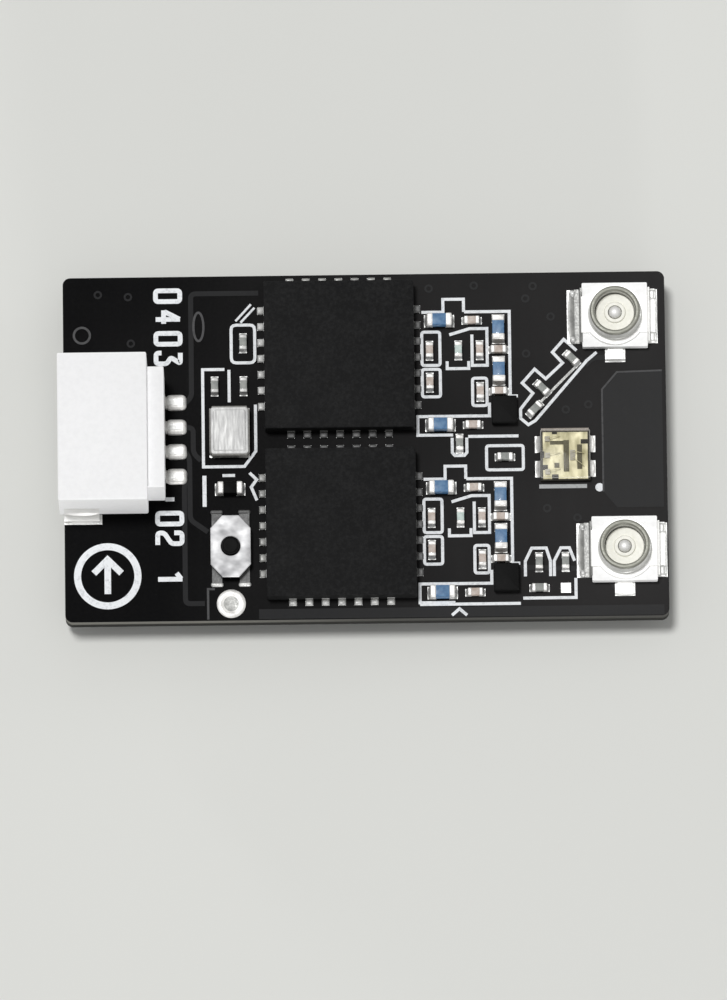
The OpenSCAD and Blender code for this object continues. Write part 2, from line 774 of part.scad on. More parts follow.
module rear_transceiver_leads() {
    color(TIN) translate([chip_x, rear_y, seat_z]) transceiver_leads();
}

module front_transceiver() {
    color(MOULD) translate([chip_x, front_y, seat_z]) transceiver_body();
}

module front_transceiver_leads() {
    color(TIN) translate([chip_x, front_y, seat_z]) transceiver_leads();
}

module oscillator_base() {
    tub_h = can_h - lid_t;
    color(CERAMIC) translate([control_x, can_y, seat_z]) difference() {
        block(can_w, can_l, tub_h);
        translate([0, 0, tub_h / 2]) block(can_w - 2 * can_wall, can_l - 2 * can_wall, tub_h);
        for (sx = SIDES, sy = SIDES)
            translate([sx * can_w / 2, sy * can_l / 2, -CUT]) cylinder(r = can_wall / 2, h = tub_h + 2 * CUT);
    }
}

module oscillator_quartz() {
    tub_h = can_h - lid_t;
    color(CLEAR) translate([control_x, can_y, seat_z + tub_h / 2])
        block(can_w - 2 * can_wall - 2 * bevel, can_l - 2 * can_wall - 2 * bevel, bevel);
}

module oscillator_lid() {
    color(TIN) translate([control_x, can_y, seat_z + can_h - lid_t])
        bevelled_block(can_w - can_wall / 2, can_l - can_wall / 2, lid_t, bevel);
}

module button_base() {
    color(MOULD) translate([control_x, button_y, seat_z]) difference() {
        translate([0, 0, terminal_t]) linear_extrude(button_h) button_plan(bevel);
        translate([0, 0, dome_floor]) cylinder(r = well_r, h = button_h);
    }
}

module button_terminals() {
    color(TIN) translate([control_x, button_y, seat_z]) button_feet(0, terminal_t);
}

module button_dome() {
    color(TIN) translate([control_x, button_y, seat_z + dome_floor]) intersection() {
        translate([0, 0, dome_rise - dome_r]) difference() {
            sphere(dome_r);
            sphere(dome_r - dome_t);
        }
        cylinder(r = dome_rim, h = dome_rise);
    }
}

module button_plunger() {
    color(MOULD) translate([control_x, button_y, seat_z]) {
        translate([0, 0, flange_low]) cylinder(d = flange_d, h = flange_t);
        translate([0, 0, flange_low])
            cylinder(d = plunger_d, h = base_top + cover_t + plunger_proud - flange_low);
    }
}

module button_cover() {
    color(TIN) translate([control_x, button_y, seat_z + base_top]) linear_extrude(cover_t) difference() {
        button_plan(0);
        circle(d = plunger_d + 2 * plunger_fit);
    }
}

module light_substrate() {
    color(WHITE) translate([light_x, mid_y, seat_z]) block(light_w, light_w, substrate_t);
}

module light_frame() {
    color(GOLD) translate([light_x, mid_y, seat_z + substrate_t]) light_islands(frame_t);
}

module light_dies() {
    color(MOULD) translate([light_x, mid_y, seat_z + substrate_t + frame_t]) light_die_set();
}

module light_lens() {
    color(CLEAR) translate([light_x, mid_y, seat_z + substrate_t]) difference() {
        bevelled_block(light_w, light_w, light_h - substrate_t, bevel);
        translate([0, 0, -CUT]) light_islands(frame_t + CUT);
        translate([0, 0, frame_t - CUT]) light_die_set();
        translate([0, 0, frame_t]) light_die_set();
    }
}

module rear_filter() {
    color(MOULD) translate([channel_x + filter_x, rear_y + filter_y, seat_z])
        bevelled_block(filter_w, filter_l, filter_h, bevel);
}

module front_filter() {
    color(MOULD) translate([channel_x + filter_x, front_y + filter_y, seat_z])
        bevelled_block(filter_w, filter_l, filter_h, bevel);
}

module rear_inductors() {
    color(BLUE) at_places(channel_inductors, [channel_x, rear_y], seat_z) chip_core(part_l, part_w, part_h);
}

module rear_inductor_ends() {
    color(TIN) at_places(channel_inductors, [channel_x, rear_y], seat_z) chip_ends(part_l, part_w, part_h);
}

module rear_capacitors() {
    color(TAN) at_places(channel_capacitors, [channel_x, rear_y], seat_z)
        chip_core(small_l, small_w, small_h);
}

module rear_capacitor_ends() {
    color(TIN) at_places(channel_capacitors, [channel_x, rear_y], seat_z)
        chip_ends(small_l, small_w, small_h);
}

module front_inductors() {
    color(BLUE) at_places(channel_inductors, [channel_x, front_y], seat_z) chip_core(part_l, part_w, part_h);
}

module front_inductor_ends() {
    color(TIN) at_places(channel_inductors, [channel_x, front_y], seat_z) chip_ends(part_l, part_w, part_h);
}

module front_capacitors() {
    color(TAN) at_places(channel_capacitors, [channel_x, front_y], seat_z)
        chip_core(small_l, small_w, small_h);
}

module front_capacitor_ends() {
    color(TIN) at_places(channel_capacitors, [channel_x, front_y], seat_z)
        chip_ends(small_l, small_w, small_h);
}

module antenna_capacitors() {
    color(TAN) at_places(antenna_capacitors_at, [0, 0], seat_z) chip_core(small_l, small_w, small_h);
}

module antenna_capacitor_ends() {
    color(TIN) at_places(antenna_capacitors_at, [0, 0], seat_z) chip_ends(small_l, small_w, small_h);
}

module control_capacitors() {
    color(TAN) at_places(control_capacitors_at, [0, 0], seat_z) chip_core(small_l, small_w, small_h);
}

module control_capacitor_ends() {
    color(TIN) at_places(control_capacitors_at, [0, 0], seat_z) chip_ends(small_l, small_w, small_h);
}

module pull_up_resistor() {
    color(MOULD) at_places(resistors_at, [0, 0], seat_z) chip_core(part_l, part_w, part_h);
}

module pull_up_resistor_ends() {
    color(TIN) at_places(resistors_at, [0, 0], seat_z) chip_ends(part_l, part_w, part_h);
}

module controller() {
    color(MOULD) underneath(0, 0, land_t)
        leadless_body(controller_w, controller_h, controller_lead_count, controller_pitch, controller_lead_w,
            lead_l, controller_paddle);
}

module controller_terminals() {
    color(TIN) underneath(0, 0, land_t)
        leadless_plan(controller_w, controller_lead_count, controller_pitch, controller_lead_w, lead_l, 0,
            controller_paddle, lead_t);
}

module regulator() {
    color(MOULD) underneath(regulator_at[0], regulator_at[1], land_t) difference() {
        bevelled_block(regulator_w, regulator_w, regulator_h, bevel);
        regulator_terminals(CUT, lead_t);
    }
}

module regulator_leads() {
    color(TIN) underneath(regulator_at[0], regulator_at[1], land_t) regulator_terminals(0, lead_t);
}

module crystal_base() {
    color(CERAMIC) underneath(crystal_at[0], crystal_at[1], land_t)
        block(crystal_w, crystal_l, crystal_h - lid_t);
}

module crystal_lid() {
    color(TIN) underneath(crystal_at[0], crystal_at[1], land_t + crystal_h - lid_t)
        bevelled_block(crystal_w - can_wall / 2, crystal_l - can_wall / 2, lid_t, bevel);
}

module supply_capacitors() {
    color(TAN) underneath(0, 0, land_t) at_places(under_capacitors_at, [0, 0], 0)
        chip_core(part_l, part_w, part_h);
}

module supply_capacitor_ends() {
    color(TIN) underneath(0, 0, land_t) at_places(under_capacitors_at, [0, 0], 0)
        chip_ends(part_l, part_w, part_h);
}

circuit_board();
top_lands();
underside_lands();
test_pad();
socket_housing();
socket_contacts();
socket_tabs();
rear_antenna_base();
rear_antenna_shell();
rear_antenna_contact();
front_antenna_base();
front_antenna_shell();
front_antenna_contact();
rear_transceiver();
rear_transceiver_leads();
front_transceiver();
front_transceiver_leads();
oscillator_base();
oscillator_quartz();
oscillator_lid();
button_base();
button_terminals();
button_dome();
button_plunger();
button_cover();
light_substrate();
light_frame();
light_dies();
light_lens();
rear_filter();
front_filter();
rear_inductors();
rear_inductor_ends();
rear_capacitors();
rear_capacitor_ends();
front_inductors();
front_inductor_ends();
front_capacitors();
front_capacitor_ends();
antenna_capacitors();
antenna_capacitor_ends();
control_capacitors();
control_capacitor_ends();
pull_up_resistor();
pull_up_resistor_ends();
controller();
controller_terminals();  // controller_leads
regulator();
regulator_leads();
crystal_base();
crystal_lid();
supply_capacitors();
supply_capacitor_ends();
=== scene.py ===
"""Looks of a bare two-antenna radio control receiver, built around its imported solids.

Lengths are in millimetres in the receiver's own frame: X runs along the board from the wire socket to the
antenna sockets, Y across it to the rear edge and Z up. Meshes are turned to metres when made, and only the
studio is set out in metres.
"""

import json
import logging
import math
from dataclasses import dataclass
from enum import Enum
from typing import Any, Sequence

import bpy
import numpy as np
from mathutils import Matrix, Vector

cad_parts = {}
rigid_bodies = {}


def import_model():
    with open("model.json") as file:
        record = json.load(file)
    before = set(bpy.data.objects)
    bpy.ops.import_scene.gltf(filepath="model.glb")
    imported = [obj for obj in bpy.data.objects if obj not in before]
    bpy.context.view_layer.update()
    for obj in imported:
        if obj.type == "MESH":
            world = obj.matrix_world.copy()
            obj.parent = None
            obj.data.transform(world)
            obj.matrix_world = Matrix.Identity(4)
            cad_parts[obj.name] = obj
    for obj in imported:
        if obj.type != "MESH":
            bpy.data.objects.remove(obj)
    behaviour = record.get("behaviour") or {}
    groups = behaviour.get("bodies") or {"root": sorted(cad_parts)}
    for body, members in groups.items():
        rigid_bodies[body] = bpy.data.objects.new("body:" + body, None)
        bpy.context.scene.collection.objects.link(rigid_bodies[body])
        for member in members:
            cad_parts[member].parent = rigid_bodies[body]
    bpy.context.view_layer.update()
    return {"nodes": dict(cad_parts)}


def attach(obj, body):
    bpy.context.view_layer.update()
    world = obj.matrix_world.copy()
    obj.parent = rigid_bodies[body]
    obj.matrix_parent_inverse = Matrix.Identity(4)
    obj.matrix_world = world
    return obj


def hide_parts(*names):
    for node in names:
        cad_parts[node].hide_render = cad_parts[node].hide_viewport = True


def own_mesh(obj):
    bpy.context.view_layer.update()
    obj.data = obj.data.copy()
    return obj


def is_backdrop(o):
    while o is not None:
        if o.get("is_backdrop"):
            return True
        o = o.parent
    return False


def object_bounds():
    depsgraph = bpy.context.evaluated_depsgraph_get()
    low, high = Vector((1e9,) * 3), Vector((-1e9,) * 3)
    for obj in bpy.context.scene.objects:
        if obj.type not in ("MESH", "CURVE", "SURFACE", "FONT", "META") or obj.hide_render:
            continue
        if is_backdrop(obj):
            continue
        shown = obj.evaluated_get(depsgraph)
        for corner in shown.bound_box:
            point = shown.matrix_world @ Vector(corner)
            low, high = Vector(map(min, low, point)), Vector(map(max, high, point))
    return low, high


LOG = logging.getLogger("receiver")
MM = 0.001
FULL_TURN = 2.0 * math.pi
QUARTER = 0.5 * math.pi
SHARP_ANGLE = math.radians(34.0)
ORIGIN = (0.0, 0.0, 0.0)
# The least cosine that a bend is lengthened by.
MITRE_LIMIT = 0.35
# Points along a slope of solder, and across it.
FILLET_STEPS = 5
# Radius of the small flat at the axis of a turned top.
AXIS_GAP = 0.02
# The small step that keeps faces of touching shapes apart.
EASE = 0.02

Colour = tuple[float, float, float]
Size = tuple[float, float, float]
Place = tuple[float, float, float]
Point = tuple[float, float]
Bar = tuple[float, float, float, float, float]
Material = bpy.types.Material


class Body(Enum):
    """The bodies that pieces ride on."""

    RECEIVER = "receiver"
    BUTTON = "button"


class Side(Enum):
    """Sides of a square chip, as quarter turns from its right side."""

    RIGHT = 0
    REAR = 1
    LEFT = 2
    FRONT = 3


class Level(float, Enum):
    """Heights that pieces sit at."""

    UNDERSIDE = 0.9
    BOARD_TOP = 1.9
    SEAT = 1.95


@dataclass
class Surface:
    """Points in millimetres, the four-sided faces over them and the many-sided caps that close them."""

    points: np.ndarray
    quads: np.ndarray
    caps: list[np.ndarray]

    @staticmethod
    def lattice(grid: np.ndarray, capped: bool = True) -> "Surface":
        """Cover a grid of points with faces, its last column meeting its first.

        Args:
            grid: Points of shape (rows, columns, 3); faces look outwards where columns run anticlockwise as
                seen against the direction in which the rows advance.
            capped: Whether one face closes the first row and another the last.

        Returns:
            The covered surface.
        """
        rows, columns = grid.shape[:2]
        index = np.arange(rows * columns).reshape(rows, columns)
        far = np.roll(index, -1, axis=1)
        quads = np.stack([index[:-1], far[:-1], far[1:], index[1:]], axis=-1).reshape(-1, 4)
        caps = [index[0][::-1], index[-1]] if capped else []
        return Surface(grid.reshape(-1, 3).astype(float), quads, caps)

    @staticmethod
    def joined(parts: Sequence["Surface"]) -> "Surface":
        """Gather several surfaces into one.

        Args:
            parts: The surfaces.

        Returns:
            One surface with all their points and faces.
        """
        starts = np.cumsum([0] + [len(part.points) for part in parts])
        placed = list(zip(parts, starts))
        return Surface(
            np.concatenate([part.points for part in parts]),
            np.concatenate([part.quads + start for part, start in placed]),
            [cap + start for part, start in placed for cap in part.caps],
        )

    def moved(self, x: float = 0.0, y: float = 0.0, z: float = 0.0, turn: float = 0.0) -> "Surface":
        """Turn the surface about Z, then shift it.

        Args:
            x: Shift along X.
            y: Shift along Y.
            z: Shift along Z.
            turn: Degrees anticlockwise about Z.

        Returns:
            The moved surface.
        """
        c, s = math.cos(math.radians(turn)), math.sin(math.radians(turn))
        spin = np.array([[c, s, 0.0], [-s, c, 0.0], [0.0, 0.0, 1.0]])
        return Surface(self.points @ spin + (x, y, z), self.quads, self.caps)

    def mirrored(self) -> "Surface":
        """Reflect the surface along X and turn its faces round to look outwards again."""
        return Surface(self.points * (-1.0, 1.0, 1.0), self.quads[:, ::-1], [cap[::-1] for cap in self.caps])

    def stood_up(self) -> "Surface":
        """Exchange Y and Z, so that a stroke drawn on the board becomes bent sheet standing on it."""
        return Surface(self.points[:, [0, 2, 1]], self.quads[:, ::-1], [cap[::-1] for cap in self.caps])

    def scattered(self, places: Sequence[Place], z: float = 0.0, offset: Point = (0.0, 0.0)) -> "Surface":
        """Repeat the surface at each place.

        Args:
            places: Rows of x, y and turn in degrees.
            z: Height of every copy.
            offset: Shift added to every place.

        Returns:
            All the copies as one surface.
        """
        return Surface.joined([self.moved(x + offset[0], y + offset[1], z, turn) for x, y, turn in places])


def quarter(steps: int = 4) -> tuple[np.ndarray, np.ndarray]:
    """One less the cosine, and one less the sine, of angles over a quarter circle."""
    sweep = np.linspace(0.0, QUARTER, steps + 1)
    return 1 - np.cos(sweep), 1 - np.sin(sweep)


def evenly(count: int, pitch: float) -> np.ndarray:
    """Places of a row of like things about its middle."""
    return (np.arange(count) - (count - 1) / 2) * pitch


def raised(flat: np.ndarray, height: np.ndarray, capped: bool = True) -> Surface:
    """Rows of flat points, each row set at its own height."""
    tall = np.broadcast_to(height[:, None, None], flat.shape[:2] + (1,))
    return Surface.lattice(np.concatenate([flat, tall], axis=-1), capped)


def outline(size: Point, corner: float, inset: np.ndarray, steps: int = 4) -> np.ndarray:
    """Rounded rectangles, one for each inset that draws the outline in.

    Each point is its corner's centre plus (corner - inset) along a ray that turns through a quarter circle.

    Args:
        size: Length and width of the rectangle.
        corner: Radius of its corners.
        inset: How far each rectangle is drawn in, nil for the full outline.
        steps: Faces over each corner.

    Returns:
        Points of shape (insets, 4 (steps + 1), 2), anticlockwise.
    """
    angle = (np.arange(4)[:, None] * QUARTER + np.linspace(0.0, QUARTER, steps + 1)).ravel()
    sign = np.repeat([[1.0, 1.0], [-1.0, 1.0], [-1.0, -1.0], [1.0, -1.0]], steps + 1, axis=0)
    centre = sign * (np.array(size) / 2 - corner)
    ray = np.stack([np.cos(angle), np.sin(angle)], axis=-1)
    return centre[None] + (corner - inset)[:, None, None] * ray[None]


def moulded(size: Point, low: float, high: float, corner: float, edge: float, steps: int = 4) -> Surface:
    """A block with rounded upright corners and rounded upper edges.

    The outline is a rounded rectangle, and each row of the grid draws it in by an inset. Up a side the inset
    is nil, and over the upper edge it follows a quarter circle: inset = edge (1 - cos a) at the height
    high - edge (1 - sin a).

    Args:
        size: Length along X and width along Y.
        low: Height of the base.
        high: Height of the top.
        corner: Radius of the upright corners.
        edge: Radius of the upper edges.
        steps: Faces over each rounding.

    Returns:
        The closed block.
    """
    near, far = quarter(steps)
    inset = np.concatenate([[0.0], edge * near])
    return raised(outline(size, max(corner, edge), inset, steps), np.concatenate([[low], high - edge * far]))


def revolved(profile: Sequence[Point] | np.ndarray, segments: int, hollow: bool = False) -> Surface:
    """A profile of radius and height carried round the Z axis.

    Each point is (r cos t, r sin t, z) for t round the full circle.

    Args:
        profile: Radius and height from the foot upwards along the outside.
        segments: Faces round the circle.
        hollow: Whether the profile returns to its start, as a ring's does, and needs no caps.

    Returns:
        The closed surface.
    """
    line = np.asarray(profile, float)
    if hollow:
        line = np.concatenate([line, line[:1]])
    turn = np.arange(segments) * FULL_TURN / segments
    ray = np.stack([np.cos(turn), np.sin(turn)], axis=-1)
    return raised(line[:, :1, None] * ray[None], line[:, 1], not hollow)


def stroke(path: Sequence[Point] | np.ndarray, width: float, low: float, high: float) -> Surface:
    """A flat bar carried along a path, with mitred bends.

    At each point the bar's edges lie half its width to either side, along the mean of the neighbouring
    normals, lengthened by one over the cosine of half the bend.

    Args:
        path: Points along the middle of the bar.
        width: Width of the bar.
        low: Height of its underside.
        high: Height of its upper side.

    Returns:
        The closed bar.
    """
    line = np.asarray(path, float)
    step = np.diff(line, axis=0)
    step = step / np.linalg.norm(step, axis=1, keepdims=True)
    normal = np.stack([-step[:, 1], step[:, 0]], axis=-1)
    before = np.concatenate([normal[:1], normal])
    mean = before + np.concatenate([normal, normal[-1:]])
    mean = mean / np.linalg.norm(mean, axis=1, keepdims=True)
    reach = 0.5 * width / np.maximum((mean * before).sum(axis=1, keepdims=True), MITRE_LIMIT)
    left, right = line + mean * reach, line - mean * reach
    flat = np.stack([left, right, right, left], axis=1)
    tall = np.broadcast_to(np.array([high, high, low, low])[:, None], flat.shape[:2] + (1,))
    return Surface.lattice(np.concatenate([flat, tall], axis=-1))


def rounded_path(points: Sequence[Point], radius: float, steps: int = 5) -> np.ndarray:
    """Round the bends of a path.

    Each inner point gives way to a quadratic curve between points one radius before and after it:
    p = (1 - t)^2 a + 2 t (1 - t) b + t^2 c.

    Args:
        points: The corners of the path.
        radius: How far before and after a corner its curve reaches.
        steps: Faces along each curve.

    Returns:
        The points of the rounded path.
    """
    line = np.asarray(points, float)
    t = np.linspace(0.0, 1.0, steps + 1)[:, None]
    corner = line[1:-1, None]
    back, on = line[:-2, None] - corner, line[2:, None] - corner
    a = corner + back / np.linalg.norm(back, axis=-1, keepdims=True) * radius
    c = corner + on / np.linalg.norm(on, axis=-1, keepdims=True) * radius
    bends = (1 - t) ** 2 * a + 2 * t * (1 - t) * corner + t**2 * c
    return np.concatenate([line[:1], bends.reshape(-1, 2), line[-1:]])


def tube(path: np.ndarray, radius: float, sides: int = 6) -> Surface:
    """A round wire along a path in space.

    Round each point lies a circle p + r (u cos t + v sin t), where u and v stand square to the path.

    Args:
        path: Points along the middle of the wire.
        radius: Radius of the wire.
        sides: Faces round the wire.

    Returns:
        The closed wire.
    """
    off_the_path = (0.31, 0.95, 0.05)
    ahead = np.gradient(path, axis=0)
    ahead = ahead / np.linalg.norm(ahead, axis=1, keepdims=True)
    side = np.cross(ahead, np.array(off_the_path))
    side = side / np.linalg.norm(side, axis=1, keepdims=True)
    up = np.cross(ahead, side)
    t = np.arange(sides)[None, :, None] * FULL_TURN / sides
    return Surface.lattice(path[:, None] + radius * (side[:, None] * np.cos(t) + up[:, None] * np.sin(t)))


def fillet(width: float, height: float, reach: float) -> Surface:
    """Solder climbing the end of a part: a hollow slope carried across the part's width.

    The slope starts at the part's face, X = 0, and sinks as z = height (1 - s)^2 while x = reach s. Towards
    both sides of the part the slope shrinks by a factor sqrt(1 - (0.8 y / half width)^2).

    Args:
        width: Width of the joint along Y.
        height: How far the solder climbs.
        reach: How far it spreads along X.

    Returns:
        The closed wedge.
    """
    s = np.linspace(0.0, 1.0, FILLET_STEPS)
    across = np.linspace(-1.0, 1.0, FILLET_STEPS)[:, None]
    shrink = np.sqrt(1.0 - (0.8 * across) ** 2)
    x = np.concatenate([reach * s, [0.0]]) * shrink
    z = np.concatenate([height * (1 - s) ** 2, [0.0]]) * shrink
    return Surface.lattice(np.stack([x, np.broadcast_to(across * width / 2, x.shape), z], axis=-1))


class Wire:
    """One output of a shader node, with arithmetic that adds Math nodes."""

    def __init__(self, graph: "Graph", socket: bpy.types.NodeSocket) -> None:
        """Keep the graph and the socket."""
        self.graph = graph
        self.socket = socket

    def math(self, operation: str, first: "Wire | float", second: "Wire | float") -> "Wire":
        """Add one Math node."""
        return self.graph.add("ShaderNodeMath", {"operation": operation}, {0: first, 1: second})

    def __add__(self, other: "Wire | float") -> "Wire":
        """Sum."""
        return self.math("ADD", self, other)

    def __radd__(self, other: float) -> "Wire":
        """Sum, reflected."""
        return self.math("ADD", other, self)

    def __mul__(self, other: "Wire | float") -> "Wire":
        """Product."""
        return self.math("MULTIPLY", self, other)

    def __rmul__(self, other: float) -> "Wire":
        """Product, reflected."""
        return self.math("MULTIPLY", other, self)

    def __gt__(self, other: "Wire | float") -> "Wire":
        """One where this is the greater, else nil."""
        return self.math("GREATER_THAN", self, other)

    def __lt__(self, other: "Wire | float") -> "Wire":
        """One where this is the lesser, else nil."""
        return self.math("LESS_THAN", self, other)

    def or_larger(self, other: "Wire | float") -> "Wire":
        """The larger of two values."""
        return self.math("MAXIMUM", self, other)


class Graph:
    """The nodes of one material, or of the world."""

    def __init__(self, owner: Material | bpy.types.World) -> None:
        """Switch the owner's nodes on."""
        owner.use_nodes = True
        self.owner, self.tree = owner, owner.node_tree

    @staticmethod
    def named(name: str) -> "Graph":
        """The nodes of a new material."""
        return Graph(bpy.data.materials.new(name))

    def add(
        self,
        kind: str,
        settings: dict[str, Any] | None = None,
        inputs: dict[str | int, Any] | None = None,
        output: str | int = 0,
    ) -> Wire:
        """Add any node.

        Args:
            kind: The node's type.
            settings: Its properties, set first.
            inputs: Values or wires for its sockets, by name or place.
            output: The output to hand back.

        Returns:
            The chosen output.
        """
        node = self.tree.nodes.new(kind)
        for key, value in (settings or {}).items():
            setattr(node, key, value)
        for key, value in (inputs or {}).items():
            self.feed(node.inputs[key], value)
        return Wire(self, node.outputs[output])

    def feed(self, socket: bpy.types.NodeSocket, value: Any) -> None:
        """Link a wire to a socket, or set the socket's own value.

        Args:
            socket: The socket.
            value: A wire, a number, a vector or a colour.
        """
        if isinstance(value, Wire):
            self.tree.links.new(value.socket, socket)
        else:
            socket.default_value = (*value, 1.0) if socket.type == "RGBA" else value

    def surface(self, **values: Any) -> Material:
        """Set the surface shader's sockets.

        Args:
            values: Values or wires by the sockets' names, with spaces as underscores.

        Returns:
            The material.
        """
        for key, value in values.items():
            self.feed(self.tree.nodes["Principled BSDF"].inputs[key.replace("_", " ")], value)
        return self.owner

    def millimetres(self) -> Wire:
        """Object coordinates in millimetres."""
        place = self.add("ShaderNodeTexCoord", output="Object")
        return self.add("ShaderNodeVectorMath", {"operation": "SCALE"}, {0: place, "Scale": 1.0 / MM})

    def noise(self, where: Wire, per_mm: float, detail: float = 2.0, rough: float = 0.5) -> Wire:
        """Soft random grain with so many features to a millimetre."""
        inputs = {"Vector": where, "Scale": per_mm, "Detail": detail, "Roughness": rough}
        return self.add("ShaderNodeTexNoise", None, inputs)

    def wave(self, where: Wire, axis: str, per_mm: float, waver: float) -> Wire:
        """Soft bands across one axis, bent a little by noise."""
        inputs = {"Vector": where, "Scale": per_mm, "Distortion": waver}
        return self.add("ShaderNodeTexWave", {"bands_direction": axis}, inputs, "Fac")

    def stretched(self, where: Wire, scale: Size) -> Wire:
        """Coordinates multiplied along each axis."""
        return self.add("ShaderNodeVectorMath", {"operation": "MULTIPLY"}, {0: where, 1: scale})

    def part_of(self, where: Wire, axis: str) -> Wire:
        """One axis of a vector."""
        return self.add("ShaderNodeSeparateXYZ", None, {0: where}, axis)

    def mixed(self, share: Wire, first: Wire | Colour, second: Wire | Colour) -> Wire:
        """Blend two colours by a share."""
        return self.add("ShaderNodeMix", {"data_type": "RGBA"}, {0: share, 6: first, 7: second}, 2)

    def spread(self, value: Wire, low: float, high: float, to_low: float = 0.0, to_high: float = 1.0) -> Wire:
        """Carry a range of values onto another, held at its ends."""
        return self.add("ShaderNodeMapRange", None, {0: value, 1: low, 2: high, 3: to_low, 4: to_high})

    def bump(self, height: Wire, depth_mm: float) -> Wire:
        """A surface normal disturbed by a height of so many millimetres."""
        return self.add("ShaderNodeBump", None, {"Height": height, "Distance": depth_mm * MM}, "Normal")


@dataclass(frozen=True)
class SolderMask:
    """Black mask over copper, with a painted sheen that makes it paler towards the antenna end, and bare
    laminate at the board's sides that is painted darker there as shade.
    """

    name: str = "solder_mask"
    colour: Colour = (0.003, 0.003, 0.0033)
    # Painted sheen: the paler black that the mask turns to towards the antenna end.
    worn: Colour = (0.0265, 0.0256, 0.0256)
    gloss: float = 0.42
    sides: bool = True
    sheen_half_length: float = 11.0
    weave_per_mm: float = 0.7
    skin: float = 0.03
    laminate: Colour = (0.2, 0.195, 0.175)
    ply_per_mm: float = 1.6
    # Painted shade: the bare sides darken to this colour towards the antenna end.
    edge: Colour = (0.07, 0.069, 0.063)
    shade_start: float = -6.5
    shade_full: float = 0.5
    core: Colour = (0.022, 0.022, 0.02)
    core_top: float = 1.42

    def make(self) -> Material:
        """Blend two blacks in broad clouds and along X, the paler one a painted sheen towards the antenna
        end, and add the woven glass as a faint bump.

        Returns:
            The finish.
        """
        g = Graph.named(self.name)
        at = g.millimetres()
        cloud = g.noise(at, 0.16, 3.0)
        grain = g.noise(at, 9.0, 3.0, 0.6)
        weave = g.wave(at, "X", self.weave_per_mm, 0.6) * g.wave(at, "Y", self.weave_per_mm, 0.6)
        # Painted sheen: the mask turns towards its paler colour along X, towards the antenna end.
        across = g.spread(g.part_of(at, "X"), -self.sheen_half_length, self.sheen_half_length)
        mask = g.mixed(g.spread(cloud * 0.6 + across, 0.35, 1.3), self.colour, self.worn)
        return g.surface(
            Base_Color=self.bared(g, at, grain, mask) if self.sides else mask,
            Roughness=g.spread(grain, 0.2, 0.8, self.gloss - 0.06, self.gloss + 0.1),
            Normal=g.bump(weave * 0.5 + grain * 0.6, 0.004),
            Specular_IOR_Level=0.012,
        )

    def bared(self, g: Graph, at: Wire, grain: Wire, mask: Wire) -> Wire:
        """Bare the board's sides: pale glass cloth, with painted shade darkening it towards the antenna end,
        over a dark core, which meet in a ragged line.

        Args:
            g: The finish's nodes.
            at: Coordinates in millimetres.
            grain: Fine noise that breaks the line.
            mask: Colour above and below the sides.

        Returns:
            The colour all over.
        """
        z = g.part_of(at, "Z")
        side = (z < Level.BOARD_TOP - self.skin) * (z > Level.UNDERSIDE + self.skin)
        ply = g.wave(at, "Z", self.ply_per_mm, 2.0)
        pale = g.mixed(ply, self.laminate, tuple(0.7 * c for c in self.laminate))
        # Painted shade: the cloth darkens along X towards the antenna end.
        cloth = g.mixed(g.spread(g.part_of(at, "X"), self.shade_start, self.shade_full), pale, self.edge)
        ragged = g.spread(z + grain * 0.12, self.core_top, self.core_top + 0.1)
        return g.mixed(side, mask, g.mixed(ragged, self.core, cloth))


@dataclass(frozen=True)
class LegendInk:
    """Pale printed legend, a little thin and broken at its edges."""

    name: str = "legend_ink"
    colour: Colour = (0.82, 0.84, 0.86)
    thin: Colour = (0.56, 0.58, 0.6)

    def make(self) -> Material:
        """Let grain thin the ink towards grey.

        Returns:
            The finish.
        """
        g = Graph.named(self.name)
        grain = g.noise(g.millimetres(), 7.0, 4.0, 0.65)
        ink = g.mixed(g.spread(grain, 0.5, 0.72), self.colour, self.thin)
        return g.surface(Base_Color=ink, Roughness=0.62, Normal=g.bump(grain, 0.004), Specular_IOR_Level=0.3)


@dataclass(frozen=True)
class Solder:
    """Bright tin: tinned lands, soldered joints and plated ends."""

    name: str = "tin"
    colour: Colour = (0.64, 0.64, 0.63)
    dull: Colour = (0.44, 0.44, 0.43)
    roughness: float = 0.4
    metallic: float = 0.45
    lumps: float = 0.01

    def make(self) -> Material:
        """Mottle bright and dull tin, and let the surface flow in low lumps.

        Returns:
            The finish.
        """
        g = Graph.named(self.name)
        at = g.millimetres()
        flow = g.noise(at, 3.2)
        grain = g.noise(at, 16.0, 3.0, 0.6)
        return g.surface(
            Base_Color=g.mixed(g.spread(flow * 0.7 + grain * 0.3, 0.42, 0.68), self.colour, self.dull),
            Metallic=self.metallic,
            Roughness=g.spread(grain, 0.25, 0.75, self.roughness - 0.08, self.roughness + 0.14),
            Normal=g.bump(flow + grain * 0.3, self.lumps),
        )


@dataclass(frozen=True)
class Moulding:
    """Moulded plastic or moulding compound with a fine sparked skin."""

    name: str
    colour: Colour
    speck: Colour
    gloss: float = 0.4
    roughness: float = 0.5
    grain_per_mm: float = 9.0
    depth: float = 0.006

    def make(self) -> Material:
        """Scatter fine specks over broad, faint clouds.

        Returns:
            The finish.
        """
        g = Graph.named(self.name)
        at = g.millimetres()
        grain = g.noise(at, self.grain_per_mm, 3.0, 0.7)
        cloud = g.noise(at, 0.7)
        return g.surface(
            Base_Color=g.mixed(g.spread(grain * 0.8 + cloud * 0.2, 0.42, 0.7), self.colour, self.speck),
            Roughness=g.spread(grain, 0.2, 0.8, self.roughness - 0.06, self.roughness + 0.1),
            Normal=g.bump(grain, self.depth),
            Specular_IOR_Level=self.gloss,
        )


